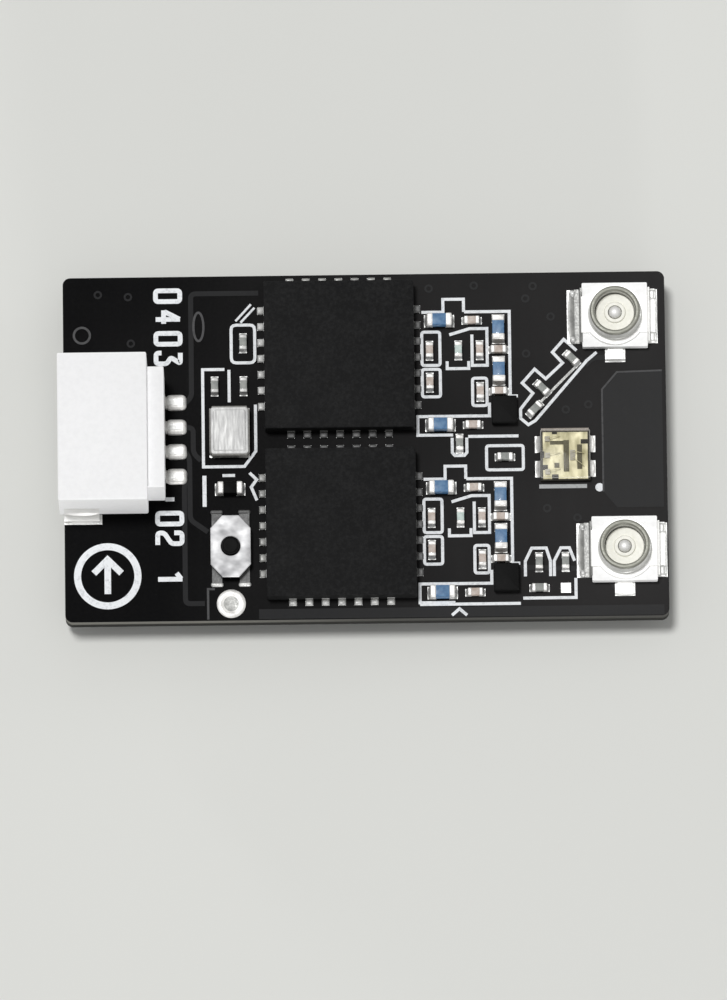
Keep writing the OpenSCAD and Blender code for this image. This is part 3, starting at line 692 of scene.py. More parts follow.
@dataclass(frozen=True)
class Plate:
    """Rolled or pressed plated sheet, brushed along one way, with painted shade over its lip where it has
    one.
    """

    name: str
    colour: Colour
    shade: Colour
    roughness: float
    metallic: float
    brush: Size = (3.0, 40.0, 3.0)
    # Painted shade over the lip, and the height where it starts.
    lip: Colour | None = None
    lip_shade_low: float = 0.0
    lip_shade_blend: float = 0.08

    def make(self) -> Material:
        """Draw grain out along the brushing, let it vary the sheen and the tint, and paint shade over the
        lip.

        Returns:
            The finish.
        """
        g = Graph.named(self.name)
        at = g.millimetres()
        lines = g.noise(g.stretched(at, self.brush), 1.0)
        cloud = g.noise(at, 1.3)
        tint = g.mixed(g.spread(lines * 0.5 + cloud * 0.5, 0.35, 0.68), self.colour, self.shade)
        # Painted shade: above a height the plate darkens to the lip colour, for the dark circle round the
        # ring's mouth.
        if self.lip:
            height = g.part_of(at, "Z") + cloud * 0.06
            tint = g.mixed(g.spread(height, self.lip_shade_low, self.lip_shade_low + self.lip_shade_blend), tint, self.lip)
        return g.surface(
            Base_Color=tint,
            Metallic=self.metallic,
            Roughness=g.spread(lines, 0.3, 0.7, self.roughness - 0.06, self.roughness + 0.12),
            Normal=g.bump(lines, 0.002),
        )


@dataclass(frozen=True)
class Glaze:
    """Coated ceramic of a chip part, in a fine mottle of two tints."""

    name: str
    colour: Colour
    pale: Colour
    roughness: float = 0.45

    def make(self) -> Material:
        """Mottle two tints under a thin clear coat.

        Returns:
            The finish.
        """
        g = Graph.named(self.name)
        at = g.millimetres()
        mottle = g.noise(at, 4.5, 3.0, 0.6)
        return g.surface(
            Base_Color=g.mixed(g.spread(mottle, 0.36, 0.66), self.colour, self.pale),
            Roughness=g.spread(mottle, 0.2, 0.8, self.roughness, self.roughness + 0.16),
            Coat_Weight=0.25,
            Normal=g.bump(g.noise(at, 22.0), 0.003),
        )


@dataclass(frozen=True)
class ClearResin:
    """Clear resin or quartz, seen through, with a faint skin and a painted highlight, a paler line over its
    upper edges.
    """

    name: str = "clear_resin"
    colour: Colour = (0.25, 0.24, 0.21)
    veil: float = 0.05
    # Painted highlight colour along the rounded upper edges.
    edge: Colour = (0.8, 0.79, 0.75)
    highlight_veil: float = 0.3
    highlight_low: float = 2.555
    highlight_high: float = 2.596

    def make(self) -> Material:
        """Let most light straight through, and less of it where the upper edges are rounded, where a pale
        painted highlight lies.

        Returns:
            The finish.
        """
        g = Graph.named(self.name)
        at = g.millimetres()
        skin = g.noise(at, 2.5)
        z = g.part_of(at, "Z")
        # Painted highlight: a pale, less clear band just under the top.
        edge = (z > self.highlight_low) * (z < self.highlight_high)
        return g.surface(
            Base_Color=g.mixed(edge, self.colour, self.edge),
            Roughness=g.spread(skin, 0.3, 0.7, 0.06, 0.14),
            Normal=g.bump(skin, 0.001),
            Alpha=g.spread(skin, 0.3, 0.7, 0.7 * self.veil, 1.3 * self.veil) + edge * self.highlight_veil,
        )


@dataclass(frozen=True)
class PlainFloor:
    """Pale matt floor."""

    name: str = "plain_floor"
    colour: Colour = (0.695, 0.7, 0.672)

    def make(self) -> Material:
        """One pale tint with the faintest cloud.

        Returns:
            The finish.
        """
        g = Graph.named(self.name)
        cloud = g.noise(g.millimetres(), 0.03)
        tint = g.mixed(cloud, self.colour, tuple(min(1.0, 1.05 * c) for c in self.colour))
        return g.surface(Base_Color=tint, Roughness=0.85, Specular_IOR_Level=0.1)


class Finish(Enum):
    """Every finish on the receiver."""

    MASK = SolderMask()
    # Its second colour is the painted sheen towards the antenna end.
    POUR = SolderMask("mask_over_copper", (0.024, 0.024, 0.025), (0.034, 0.034, 0.0345), 0.36, False)
    INK = LegendInk()
    THIN_INK = LegendInk("thin_legend", (0.42, 0.43, 0.43), (0.3, 0.31, 0.31))
    FAINT_INK = LegendInk("faint_legend", (0.055, 0.055, 0.057), (0.026, 0.026, 0.027))
    TIN = Solder()
    ENDS = Solder("plated_ends", (0.74, 0.73, 0.71), (0.48, 0.47, 0.46), 0.42, 0.35, 0.006)
    LEAD = Solder("lead_tin", (0.5, 0.5, 0.49), (0.34, 0.34, 0.335), 0.45, 0.3)
    # Dull tin; on some transceiver sides it is painted half shade.
    DULL_TIN = Solder("dull_tin", (0.3, 0.3, 0.29), (0.19, 0.19, 0.185), 0.42, 0.4)
    # Painted shade: darkened tin for solder that stands in shadow.
    TARNISH = Solder("shaded_tin", (0.12, 0.12, 0.12), (0.07, 0.07, 0.07), 0.5, 0.2)
    HOUSING = Moulding("white_moulding", (0.855, 0.855, 0.86), (0.82, 0.82, 0.825), 0.35, 0.5, 5.0, 0.003)
    INSULATOR = Moulding("insulator", (0.92, 0.92, 0.915), (0.87, 0.87, 0.865), 0.4, 0.42, 6.0, 0.003)
    CREAM = Moulding("cream_insulator", (0.93, 0.92, 0.84), (0.87, 0.86, 0.77), 0.4, 0.45, 6.0, 0.003)
    COMPOUND = Moulding(
        "moulding_compound", (0.0075, 0.0075, 0.0078), (0.019, 0.019, 0.0193), 0.05, 0.6, 7.0, 0.012
    )
    BLACK = Moulding("black_plastic", (0.003, 0.003, 0.003), (0.007, 0.007, 0.007), 0.05)
    CERAMIC = Moulding("ceramic", (0.2, 0.195, 0.18), (0.13, 0.125, 0.12), 0.4, 0.6, 8.0)
    SHELL = Plate("plated_shell", (0.86, 0.855, 0.84), (0.74, 0.735, 0.72), 0.42, 0.3)
    # The ring's lip carries painted shade.
    RING = Plate(
        "ring_metal", (0.62, 0.62, 0.6), (0.48, 0.48, 0.46), 0.4, 0.4, lip=(0.17, 0.17, 0.145), lip_shade_low=3.06
    )
    LID = Plate("satin_lid", (0.61, 0.61, 0.6), (0.42, 0.42, 0.42), 0.52, 0.15, (14.0, 2.0, 3.0))
    COVER = Plate("pressed_cover", (0.82, 0.82, 0.83), (0.3, 0.3, 0.31), 0.5, 0.15, (1.6, 2.4, 1.6))
    BLUE = Glaze("blue_coat", (0.045, 0.13, 0.27), (0.1, 0.21, 0.36), 0.32)
    TAN = Glaze("tan_ceramic", (0.44, 0.36, 0.31), (0.6, 0.53, 0.48))
    MINT = Glaze("mint_ceramic", (0.4, 0.49, 0.46), (0.6, 0.7, 0.66))
    GREY = Glaze("grey_ceramic", (0.2, 0.21, 0.2), (0.3, 0.31, 0.29))
    GOLD = Plate("gold_plate", (0.62, 0.57, 0.37), (0.31, 0.28, 0.145), 0.45, 0.2, (4.0, 1.6, 4.0))
    SUBSTRATE = Moulding("dark_substrate", (0.02, 0.018, 0.013), (0.012, 0.011, 0.008), 0.15)
    OLIVE = Moulding("olive_resist", (0.12, 0.107, 0.062), (0.075, 0.066, 0.038), 0.15)
    DIE = Moulding("pale_die", (0.44, 0.415, 0.34), (0.33, 0.31, 0.25), 0.2)
    RIM = Moulding("pale_rim", (0.34, 0.3, 0.26), (0.2, 0.175, 0.15), 0.2)
    CLEAR = ClearResin()
    QUARTZ = ClearResin("quartz", (0.85, 0.87, 0.86), 0.45)


def set_out(name: str, data: bpy.types.ID) -> bpy.types.Object:
    """Make an object and put it in the scene.

    Args:
        name: The object's name.
        data: Its mesh, lamp or camera.

    Returns:
        The object.
    """
    obj = bpy.data.objects.new(name, data)
    bpy.context.scene.collection.objects.link(obj)
    return obj


class Workshop:
    """Makes pieces and dresses CAD nodes, with each finish made once."""

    def __init__(self, nodes: dict[str, bpy.types.Object]) -> None:
        """Keep the frame's nodes and make every finish."""
        self.nodes = nodes
        self.finishes = {finish: finish.value.make() for finish in Finish}

    def piece(
        self,
        name: str,
        shape: Surface,
        finish: Finish,
        at: Place = ORIGIN,
        node: str = "",
        body: Body = Body.RECEIVER,
    ) -> bpy.types.Object:
        """Make a piece of the receiver and set it on the body that it rides on.

        Args:
            name: The piece's name.
            shape: Its surface, in millimetres.
            finish: Its finish.
            at: Where the middle of the shape's drawing is on the receiver.
            node: The CAD node that it stands in for, if any.
            body: The body that it moves with.

        Returns:
            The new object.
        """
        mesh = bpy.data.meshes.new(name)
        faces = shape.quads.tolist() + [cap.tolist() for cap in shape.caps]
        mesh.from_pydata(((shape.points + at) * MM).tolist(), [], faces)
        mesh.shade_smooth()
        mesh.set_sharp_from_angle(angle=SHARP_ANGLE)
        mesh.materials.append(self.finishes[finish])
        mesh.update()
        obj = set_out(name, mesh)
        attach(obj, body.value)
        if node:
            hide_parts(node)
        LOG.info("%s: %d points on %s", name, len(shape.points), body.value)
        return obj

    def dress(self, finish: Finish, *names: str) -> None:
        """Give CAD nodes a finish.

        Args:
            finish: The finish.
            names: The nodes' names.
        """
        for name in names:
            slots = self.nodes[name].data.materials
            slots.clear()
            slots.append(self.finishes[finish])


@dataclass(frozen=True)
class PartGroup:
    """One group of like chip parts: the CAD node of their cores, and where they are as x, y and turn.

    The cores of pale parts make a piece of their own.
    """

    node: str
    size: Size
    places: tuple[Place, ...]
    finish: Finish
    end_finish: Finish = Finish.ENDS
    offset: Point = (0.0, 0.0)
    pale: tuple[Place, ...] = ()


@dataclass
class ChipParts:
    """Chip inductors, capacitors and resistors, with rounded bodies, wrapped ends and soldered joints.

    Places in a radio channel are counted from the point beside its transceiver.
    """

    large: Size = (1.0, 0.5, 0.5)
    small: Size = (0.6, 0.3, 0.3)
    core_shares: Size = (0.86, 0.94, 0.965)
    core_rounding: float = 0.05
    end_share: float = 0.25
    end_rounding: float = 0.22
    climb: float = 0.72
    reach: float = 0.1
    channels: tuple[tuple[str, Point], ...] = (("rear", (2.0, 3.6)), ("front", (2.0, -3.2)))
    inductors: tuple[Place, ...] = ((1.0, 1.45, 0), (3.35, 1.1, 90), (3.35, -0.6, 90), (1.0, -2.8, 0))
    capacitors: tuple[Place, ...] = (
        (2.3, 1.45, 0),
        (3.35, 0.25, 0),
        (3.35, -1.45, 0),
        (0.6, 0.25, 90),
        (2.6, 0.25, 90),
        (0.6, -1.05, 90),
        (2.6, -1.45, 90),
        (2.3, -2.8, 0),
    )
    pale: tuple[Place, ...] = ((1.75, 0.25, 90),)
    antenna: tuple[Place, ...] = (
        (6.765, 1.41, 45),
        (7.065, 2.255, -45),
        (8.26, 3.45, -45),
        (6.85, -4.8, 90),
        (7.9, -4.8, 90),
        (6.85, -5.85, 0),
        (5.55, -0.525, 0),
        (3.75, 0.05, 90),
    )
    control: tuple[Place, ...] = ((-5.975, 2.5, 90), (-4.825, 2.5, 90), (-4.825, 4.25, 90))
    resistor: tuple[Place, ...] = ((-5.4, -1.7, 0),)

    def core(self, size: Size) -> Surface:
        """The rounded body between the two ends."""
        length, width, height = np.multiply(size, self.core_shares)
        return moulded(
            (length, width), EASE, height, self.core_rounding * size[1], self.core_rounding * size[2], 2
        )

    def ends(self, size: Size) -> Surface:
        """The two wrapped metal ends, each a rounded cap.

        Args:
            size: Length, width and height of the part.

        Returns:
            Both ends.
        """
        length, width, height = size
        cap_l = length * self.end_share
        edge = self.end_rounding * cap_l
        cap = moulded((cap_l, width), 0.0, height, edge, edge, 3)
        shift = (length - cap_l) / 2
        return Surface.joined([cap.moved(shift), cap.moved(-shift)])

    def joints(self, size: Size) -> Surface:
        """Solder climbing both ends.

        Args:
            size: Length, width and height of the part.

        Returns:
            Both joints.
        """
        length, width, height = size
        slope = fillet(width, self.climb * height, self.reach)
        return Surface.joined([slope.moved(length / 2), slope.moved(-length / 2, turn=180.0)])

    def groups(self) -> list[PartGroup]:
        """Every group on the upper side.

        Returns:
            The groups, in the order in which they are made.
        """
        found = []
        for side, offset in self.channels:
            coils, caps = f"{side}_inductors", f"{side}_capacitors"
            found += [
                PartGroup(coils, self.large, self.inductors, Finish.BLUE, Finish.ENDS, offset),
                PartGroup(caps, self.small, self.capacitors, Finish.TAN, Finish.ENDS, offset, self.pale),
            ]
        return found + [
            PartGroup("antenna_capacitors", self.small, self.antenna, Finish.GREY),
            PartGroup("control_capacitors", self.small, self.control, Finish.GREY, Finish.LEAD),
            PartGroup("pull_up_resistor", self.large, self.resistor, Finish.BLACK),
        ]

    def build(self, shop: Workshop) -> None:
        """Make the cores and ends of every group in place of their nodes, and solder them.

        Args:
            shop: Where pieces are made.
        """
        solder = []
        for group in self.groups():
            every, core = (*group.places, *group.pale), self.core(group.size)
            cores = core.scattered(group.places, Level.SEAT, group.offset)
            shop.piece(f"{group.node}_dressed", cores, group.finish, node=group.node)
            node = f"{group.node.removesuffix('s')}_ends"
            ends = self.ends(group.size).scattered(every, Level.SEAT, group.offset)
            shop.piece(f"{node}_dressed", ends, group.end_finish, node=node)
            if group.pale:
                pale = core.scattered(group.pale, Level.SEAT, group.offset)
                shop.piece(group.node.replace("_", "_pale_", 1), pale, Finish.MINT)
            solder.append(self.joints(group.size).scattered(every, Level.SEAT, group.offset))
        shop.piece("chip_part_solder", Surface.joined(solder), Finish.TIN)


@dataclass
class AntennaSocket:
    """One coaxial antenna socket: ring and formed feet, insulator and centre contact."""

    side: str
    at: Place
    base_half: float = 1.3
    base_h: float = 0.4
    ring_r: float = 1.0
    bore_r: float = 0.8
    top: float = 1.25
    lip: float = 0.06
    ring_fillet: float = 0.08
    sheet: float = 0.1
    bend: float = 0.09
    strap_start: float = 0.98
    flange_r: float = 1.24
    flange_edge: float = 0.03
    foot_l: float = 2.2
    foot_reach: float = 0.3
    contact_r: float = 0.25
    contact_h: float = 1.0
    contact_dome: float = 0.16
    signal_w: float = 0.6
    signal_reach: float = 0.45
    washer_h: float = 0.38
    washer_gap: float = 0.03
    collar_h: float = 0.06
    solder_h: float = 0.1
    inboard_reach: float = 0.28

    def ring(self) -> Surface:
        """The ring with rolled lips and a fillet at its foot, as one profile round the axis.

        Returns:
            The ring.
        """
        near, far = quarter()
        low, out, bore, curve = self.base_h, self.ring_r, self.bore_r, self.ring_fillet
        base = [(bore, low + EASE), (out + curve, low + EASE)]
        foot = np.stack([out + curve * far, low + self.sheet + curve * near], axis=-1)
        outer = np.stack([out - self.lip * near, self.top - self.lip * far], axis=-1)
        inner = np.stack([bore + self.lip * far, self.top - self.lip * near], axis=-1)
        return revolved(np.concatenate([base, foot, outer, inner]), 96, hollow=True)

    def flange(self) -> Surface:
        """The round plate that the ring stands on.

        Returns:
            The plate.
        """
        low, high, r, edge = self.base_h, self.base_h + self.sheet, self.flange_r, self.flange_edge
        bore = self.bore_r + EASE
        rim = [(r - EASE, low), (r, low + edge), (r, high - edge), (r - edge, high)]
        return revolved([(bore, low), *rim, (bore, high)], 96, hollow=True)

    def leg(self) -> tuple[Surface, Surface]:
        """One formed leg: sheet bent down beside the base and out along the board, carried along Y.

        Returns:
            The strap over the base and the foot below it, for the side away from the signal light.
        """
        mid = self.sheet / 2
        x, high = self.base_half + mid, self.base_h + mid
        path = [(self.strap_start, high), (x, high), (x, mid), (self.base_half + self.foot_reach, mid)]
        bent = rounded_path(path, self.bend)
        strap = stroke(bent[: len(bent) // 2], self.sheet - 0.01, -self.foot_l / 3, self.foot_l / 3)
        foot = stroke(bent[3:], self.sheet, -self.foot_l / 2, self.foot_l / 2)
        return strap.stood_up(), foot.stood_up()

    def contact(self) -> Surface:
        """The centre pin with a domed tip, and its strip to the signal foot.

        Returns:
            Both as one surface.
        """
        a = np.linspace(0.0, QUARTER, 7)[:-1]
        shoulder = self.contact_h - self.contact_dome
        tip = np.stack([self.contact_r * np.cos(a), shoulder + self.contact_dome * np.sin(a)], axis=-1)
        pin = revolved([(self.contact_r, 0.0), *tip, (AXIS_GAP, self.contact_h)], 48)
        foot_end = -self.base_half - self.signal_reach
        return Surface.joined([pin, stroke([(0.0, 0.0), (0.0, foot_end)], self.signal_w, 0.0, self.sheet)])

    def insulator(self) -> Surface:
        """The pale washer between ring and pin, with a moat and a raised collar round the pin.

        Returns:
            The washer.
        """
        gap = self.washer_gap
        low, top = self.base_h + 0.002, self.base_h + self.washer_h
        bore, edge = self.contact_r + gap, self.bore_r - gap
        rim = [(edge, low), (edge, top - gap), (edge - gap, top)]
        moat = [(0.6, top - 0.01), (0.44, top - 0.02), (0.4, top + self.collar_h)]
        return revolved([(bore, low), *rim, *moat, (bore, top + self.collar_h)], 72, hollow=True)

    def solder(self) -> Surface:
        """Solder along the outer foot, both ends of each foot and round the signal foot.

        Returns:
            All of it as one surface.
        """
        half, rise, edge = self.base_half, 0.15, 0.14
        side = fillet(self.foot_l, self.solder_h, 0.1).moved(half + self.foot_reach)
        nose = fillet(0.8, self.solder_h, 0.1).moved(half + self.signal_reach).moved(turn=-90.0)
        pad = moulded((0.34, 0.5), 0.0, rise, edge, edge).moved(half + 0.2)
        drop = moulded((0.3, 0.3), 0.0, rise, edge, edge).moved(-half - 0.36)
        ends = [shape.moved(0.0, end * y) for shape, y in ((pad, 0.86), (drop, 0.94)) for end in (-1, 1)]
        return Surface.joined([side, nose, *ends])

    def inboard(self) -> Surface:
        """The foot and the broad, dull slope of solder on the side towards the signal light."""
        slope = fillet(self.foot_l, 0.11, self.inboard_reach)
        return Surface.joined(
            [self.leg()[1].mirrored(), slope.moved(-self.base_half - self.foot_reach, turn=180.0)]
        )

    def build(self, shop: Workshop) -> None:
        """Make the smooth metal in place of the plain solids and dress the base.

        Args:
            shop: Where pieces are made.
        """
        name = f"{self.side}_antenna"
        strap, foot = self.leg()
        sheet = Surface.joined([self.flange(), strap, strap.mirrored(), foot])
        shop.piece(f"{name}_ring", self.ring(), Finish.RING, self.at, f"{name}_shell")
        shop.piece(f"{name}_legs", sheet, Finish.SHELL, self.at)
        shop.piece(f"{name}_inboard", self.inboard(), Finish.DULL_TIN, self.at)
        shop.piece(f"{name}_pin", self.contact(), Finish.SHELL, self.at, f"{name}_contact")
        shop.piece(f"{name}_washer", self.insulator(), Finish.CREAM, self.at)
        shop.piece(f"{name}_solder", self.solder(), Finish.TIN, self.at)
        shop.dress(Finish.INSULATOR, f"{name}_base")


@dataclass
class WireSocket:
    """The side-entry wire socket with its soldered tails and tabs."""

    at: Place = (-12.2, 0.35, Level.BOARD_TOP)
    length: float = 4.25
    half_width: float = 3.0
    height: float = 2.95
    corner: float = 0.1
    pitch: float = 1.0
    count: int = 4
    tail: float = 0.7
    step: float = 0.7
    step_side: float = 0.55
    step_drop: float = 0.3
    step_edge: float = 0.06
    mouth: Size = (2.9, 4.9, 1.9)
    mouth_floor: float = 0.5
    mouth_corner: float = 0.12
    edge: float = 0.07
    lip: float = 0.05

    def housing(self) -> Surface:
        """The housing: a rounded outline carried from the rear to the front, over the lip and into the mouth.

        Rows run along X. Over each edge the inset follows a quarter circle; at the lip the rows change from
        the outer outline to the mouth's and go back in to the mouth's end wall.

        Returns:
            The housing with its rear step.
        """
        near, far = quarter()
        depth, wide, tall = self.mouth
        rear = self.length - self.step
        along = [rear - self.edge * near, self.edge * far, self.lip * near, [depth]]
        out_in = np.concatenate([self.edge * far, self.edge * near])
        in_in = np.concatenate([-self.lip * far, [0.0]])
        outer = outline((2 * self.half_width - EASE, self.height), self.corner, out_in)
        inner = outline((wide, tall), self.mouth_corner, in_in)
        flat = np.concatenate([outer + (0.0, self.height / 2), inner + (0.0, self.mouth_floor + tall / 2)])
        x = np.broadcast_to(np.concatenate(along)[:, None], flat.shape[:2])
        block = Surface.lattice(np.stack([x, -flat[..., 0], flat[..., 1]], axis=-1))
        size = (self.step + 0.06, 2 * (self.half_width - self.step_side))
        rear_step = moulded(size, 0.0, self.height - self.step_drop, self.step_edge, self.step_edge)
        return Surface.joined([block, rear_step.moved(self.length - size[0] / 2 - EASE)])

    def repeated(self, shape: Surface, x: float, z: float = 0.0) -> Surface:
        """One copy of a shape at each tail."""
        return shape.scattered([(self.length + x, y, 0.0) for y in evenly(self.count, self.pitch)], z)

    def tips(self) -> Surface:
        """The dull tip of each tail, standing out of its solder."""
        return self.repeated(moulded((0.26, 0.28), 0.1, 0.235, 0.06, 0.05, 3), 0.42)

    def solder(self) -> Surface:
        """A low pillow of solder over each tail, climbing the housing at its heel.

        Returns:
            All the solder as one surface.
        """
        pillow = moulded((self.tail + 0.14, 0.64), -0.03, 0.16, 0.2, 0.15, 5)
        heel = fillet(0.46, 0.34, 0.3)
        return Surface.joined([self.repeated(pillow, 0.43, 0.05), self.repeated(heel, 0.0, 0.06)])

    def tab_solder(self) -> Surface:
        """A slope of solder along each tab."""
        slope = fillet(1.4, 0.34, 0.36)
        return slope.scattered([(0.9, side * self.half_width, 90.0 * side) for side in (-1, 1)], 0.05)

    def build(self, shop: Workshop) -> None:
        """Make the housing, dress the metal and solder the tails.

        Args:
            shop: Where pieces are made.
        """
        shop.piece("socket_moulding", self.housing(), Finish.HOUSING, self.at, "socket_housing")
        shop.dress(Finish.TIN, "socket_contacts")
        shop.dress(Finish.SHELL, "socket_tabs")
        shop.piece("socket_solder", self.solder(), Finish.ENDS, self.at)
        shop.piece("socket_tab_solder", self.tab_solder(), Finish.SHELL, self.at)
        shop.piece("socket_tail_tips", self.tips(), Finish.DULL_TIN, self.at)


@dataclass
class Transceivers:
    """The two square transceiver chips with solder at every terminal, and their band filters.

    Joints name a piece of solder, its finish, and the sides it is on at the rear chip and at the front one.
    The finishes paint light and shade by side: the lightest tin on sides that look lit, a duller one on
    half-lit sides, the darkest on the right sides and in the gap between the chips.
    """

    chips: tuple[tuple[str, Point], ...] = (("rear", (-1.0, 3.6)), ("front", (-1.0, -3.2)))
    width: float = 6.0
    ease: float = 0.015
    height: float = 0.85
    corner: float = 0.07
    edge: float = 0.05
    pitch: float = 0.65
    count: int = 7
    filter_shift: Point = (6.55, -2.25)
    filter_size: Size = (1.0, 1.1, 0.45)
    filter_corner: float = 0.05
    filter_edge: float = 0.04
    bead: Size = (0.27, 0.32, 0.09)
    bead_edge: float = 0.07
    joints: tuple[tuple[str, Finish, tuple[Side, ...], tuple[Side, ...]], ...] = (
        # Painted light and shade: each side's solder takes a lighter or darker tin for how it is lit.
        ("transceiver_solder", Finish.LEAD, (Side.LEFT,), (Side.FRONT,)),
        ("transceiver_worn_solder", Finish.DULL_TIN, (Side.REAR,), (Side.LEFT,)),
        ("transceiver_tarnished_solder", Finish.TARNISH, (Side.RIGHT, Side.FRONT), (Side.RIGHT, Side.REAR)),
    )

    def solder(self, sides: Sequence[tuple[Side, ...]]) -> Surface:
        """A small bead on each land where it shows past a chip.

        Args:
            sides: The soldered sides of the rear chip and of the front one.

        Returns:
            All the beads as one surface.
        """
        length, width, height = self.bead
        bead = moulded((length, width), -0.01, height, self.bead_edge, self.bead_edge, 3)
        reach = (self.width + length) / 2 - 0.01
        row = bead.scattered([(reach, y, 0.0) for y in evenly(self.count, self.pitch)])
        places = [(*at, 90.0 * side.value) for chosen, (_, at) in zip(sides, self.chips) for side in chosen]
        return row.scattered(places, Level.SEAT)

    def build(self, shop: Workshop) -> None:
        """Make the chips and the band filters, and solder the terminals.

        Args:
            shop: Where pieces are made.
        """
        wide = self.width - self.ease
        chip = moulded((wide, wide), 0.0, self.height, self.corner, self.edge)
        length, width, height = self.filter_size
        band = moulded((length, width), 0.0, height, self.filter_corner, self.filter_edge)
        for side, (x, y) in self.chips:
            node = f"{side}_transceiver"
            shop.piece(f"{node}_body", chip, Finish.COMPOUND, (x, y, Level.SEAT), node)
            place = (x + self.filter_shift[0], y + self.filter_shift[1], Level.SEAT)
            shop.piece(f"{side}_filter_body", band, Finish.BLACK, place, f"{side}_filter")
        shop.dress(Finish.TIN, "rear_transceiver_leads", "front_transceiver_leads")
        for name, finish, *sides in self.joints:
            shop.piece(name, self.solder(sides), finish)


@dataclass
class Oscillator:
    """The oscillator can with a seam-welded lid."""

    at: Place = (-5.4, 0.6, Level.SEAT)
    lid: Point = (1.49, 1.89)
    low: float = 0.48
    high: float = 0.6
    rim_t: float = 0.06
    rim_w: float = 0.1

    def lid_shape(self) -> Surface:
        """A thin rim with a slightly raised panel inside it.

        Returns:
            The lid.
        """
        rim = moulded(self.lid, self.low, self.low + self.rim_t, 0.12, 0.03)
        inner = (self.lid[0] - 2 * self.rim_w, self.lid[1] - 2 * self.rim_w)
        return Surface.joined([rim, moulded(inner, self.low + self.rim_t - 0.01, self.high, 0.1, 0.05)])

    def build(self, shop: Workshop) -> None:
        """Make the lid in place of the plain one and dress the rest.

        Args:
            shop: Where pieces are made.
        """
        shop.piece("oscillator_lid_pressed", self.lid_shape(), Finish.LID, self.at, "oscillator_lid")
        shop.dress(Finish.CERAMIC, "oscillator_base")
        shop.dress(Finish.QUARTZ, "oscillator_quartz")


@dataclass
class BindButton:
    """The push button: pressed cover, plunger, contact dome and soldered terminals."""

    at: Place = (-5.4, -4.1, Level.SEAT)
    width: float = 1.6
    length: float = 2.5
    cut: Point = (0.47, 0.52)
    base_top: float = 0.46
    cover_t: float = 0.1
    hole_r: float = 0.39
    plunger_r: float = 0.34
    flange_r: float = 0.48
    flange_low: float = 0.38
    flange_t: float = 0.06
    proud: float = 0.18
    dome_floor: float = 0.2
    dome_rise: float = 0.176
    dome_rim: float = 0.51
    dome_t: float = 0.04
    dome_steps: int = 8
    dome_tip: float = 0.01
    pressed_share: float = 0.3
    bead: Size = (0.5, 0.17, 0.14)
    bead_edge: float = 0.08
    bead_x: float = 0.55
    bead_y: float = 1.465

    def cover(self) -> Surface:
        """The cover: an outline that runs from the cut-cornered edge to the round hole.

        Rows go from the underside of the hole out to the rim, over a rounded edge and back in to the hole.
        Each row is a blend of the hole's circle and the cover's outline, p = circle (1 - s) + outline s.

        Returns:
            The cover.
        """
        w, l = self.width / 2, self.length / 2
        half = np.array([(w, 0.0), (w, l - self.cut[1]), (w - self.cut[0], l), (0.0, l)])
        half = np.concatenate([half, half[-2::-1] * (-1.0, 1.0)])
        corners = np.concatenate([half, half[-2::-1] * (1.0, -1.0)])
        mark = np.concatenate([[0.0], np.cumsum(np.linalg.norm(np.diff(corners, axis=0), axis=1))])
        along = np.unique(np.concatenate([np.linspace(0.0, mark[-1], 97)[:-1], mark[:-1]]))
        rim = np.stack([np.interp(along, mark, corners[:, axis]) for axis in (0, 1)], axis=-1)
        angle = np.arctan2(rim[:, 1], rim[:, 0])
        hole = self.hole_r * np.stack([np.cos(angle), np.sin(angle)], axis=-1)
        share = np.array([0.0, 1.0, 1.0, 0.975, 0.93, 0.5, 0.08, 0.02, 0.0, 0.0])[:, None, None]
        t = self.cover_t
        drop = np.array([t, t, 0.04, 0.012, 0.0, 0.0, 0.0, 0.012, 0.04, t])
        return raised(hole * (1 - share) + rim * share, self.base_top + t - drop, False)

    def plunger(self) -> Surface:
        """The plunger with its hidden flange and a softly domed, dished top.

        Returns:
            The plunger.
        """
        top = self.base_top + self.cover_t + self.proud
        r, f, low = self.plunger_r, self.flange_r, self.flange_low
        flange = [(f, low), (f, low + self.flange_t), (r, low + self.flange_t)]
        edge = [(r, top - 0.07), (r - 0.012, top - 0.03), (r - 0.04, top - 0.008), (r - 0.08, top)]
        return revolved([*flange, *edge, (r - 0.14, top - 0.004), (AXIS_GAP, top - 0.02)], 56)

    def dome(self) -> Surface:
        """The contact dome under the plunger: a thin cap of a sphere of radius R.

        Its height is z = c + sqrt(R R - r r), with r from the axis out to the foot on the inside, and from
        the rim back to the axis on the outside.

        Returns:
            The dome.
        """
        outer = (self.dome_rim**2 + self.dome_rise**2) / (2 * self.dome_rise)
        inner = outer - self.dome_t
        centre = self.dome_floor + self.dome_rise - outer
        foot = math.sqrt(inner**2 - (self.dome_floor - centre) ** 2)
        under = np.linspace(self.dome_tip, foot, self.dome_steps)
        radius = np.concatenate([under, np.linspace(self.dome_rim, self.dome_tip, self.dome_steps)])
        sphere = np.repeat([inner, outer], self.dome_steps)
        return revolved(np.stack([radius, centre + np.sqrt(sphere**2 - radius**2)], axis=-1), 40)

    def solder(self, y: float) -> Surface:
        """A bead on each of the two terminals at one end of the button."""
        bead = moulded(self.bead[:2], -0.03, self.bead[2], self.bead_edge, self.bead_edge)
        return bead.scattered([(-self.bead_x, y, 0.0), (self.bead_x, y, 0.0)])

    def build(self, shop: Workshop) -> None:
        """Make the cover, plunger and dome in place of the plain ones and dress the rest.

        Args:
            shop: Where pieces are made.
        """
        shop.piece("button_cover_pressed", self.cover(), Finish.COVER, self.at, "button_cover")
        cap = self.plunger()
        shop.piece("button_plunger_turned", cap, Finish.BLACK, self.at, "button_plunger", Body.BUTTON)
        shop.dress(Finish.BLACK, "button_base")
        # Painted shade: the terminals and the rear beads take the darkened tin.
        shop.dress(Finish.TARNISH, "button_terminals")
        dome = shop.piece("button_dome_sprung", self.dome(), Finish.TIN, self.at, "button_dome")
        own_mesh(dome)
        shop.piece("button_solder", self.solder(-self.bead_y), Finish.TIN, self.at)
        shop.piece("button_shaded_solder", self.solder(self.bead_y), Finish.TARNISH, self.at)


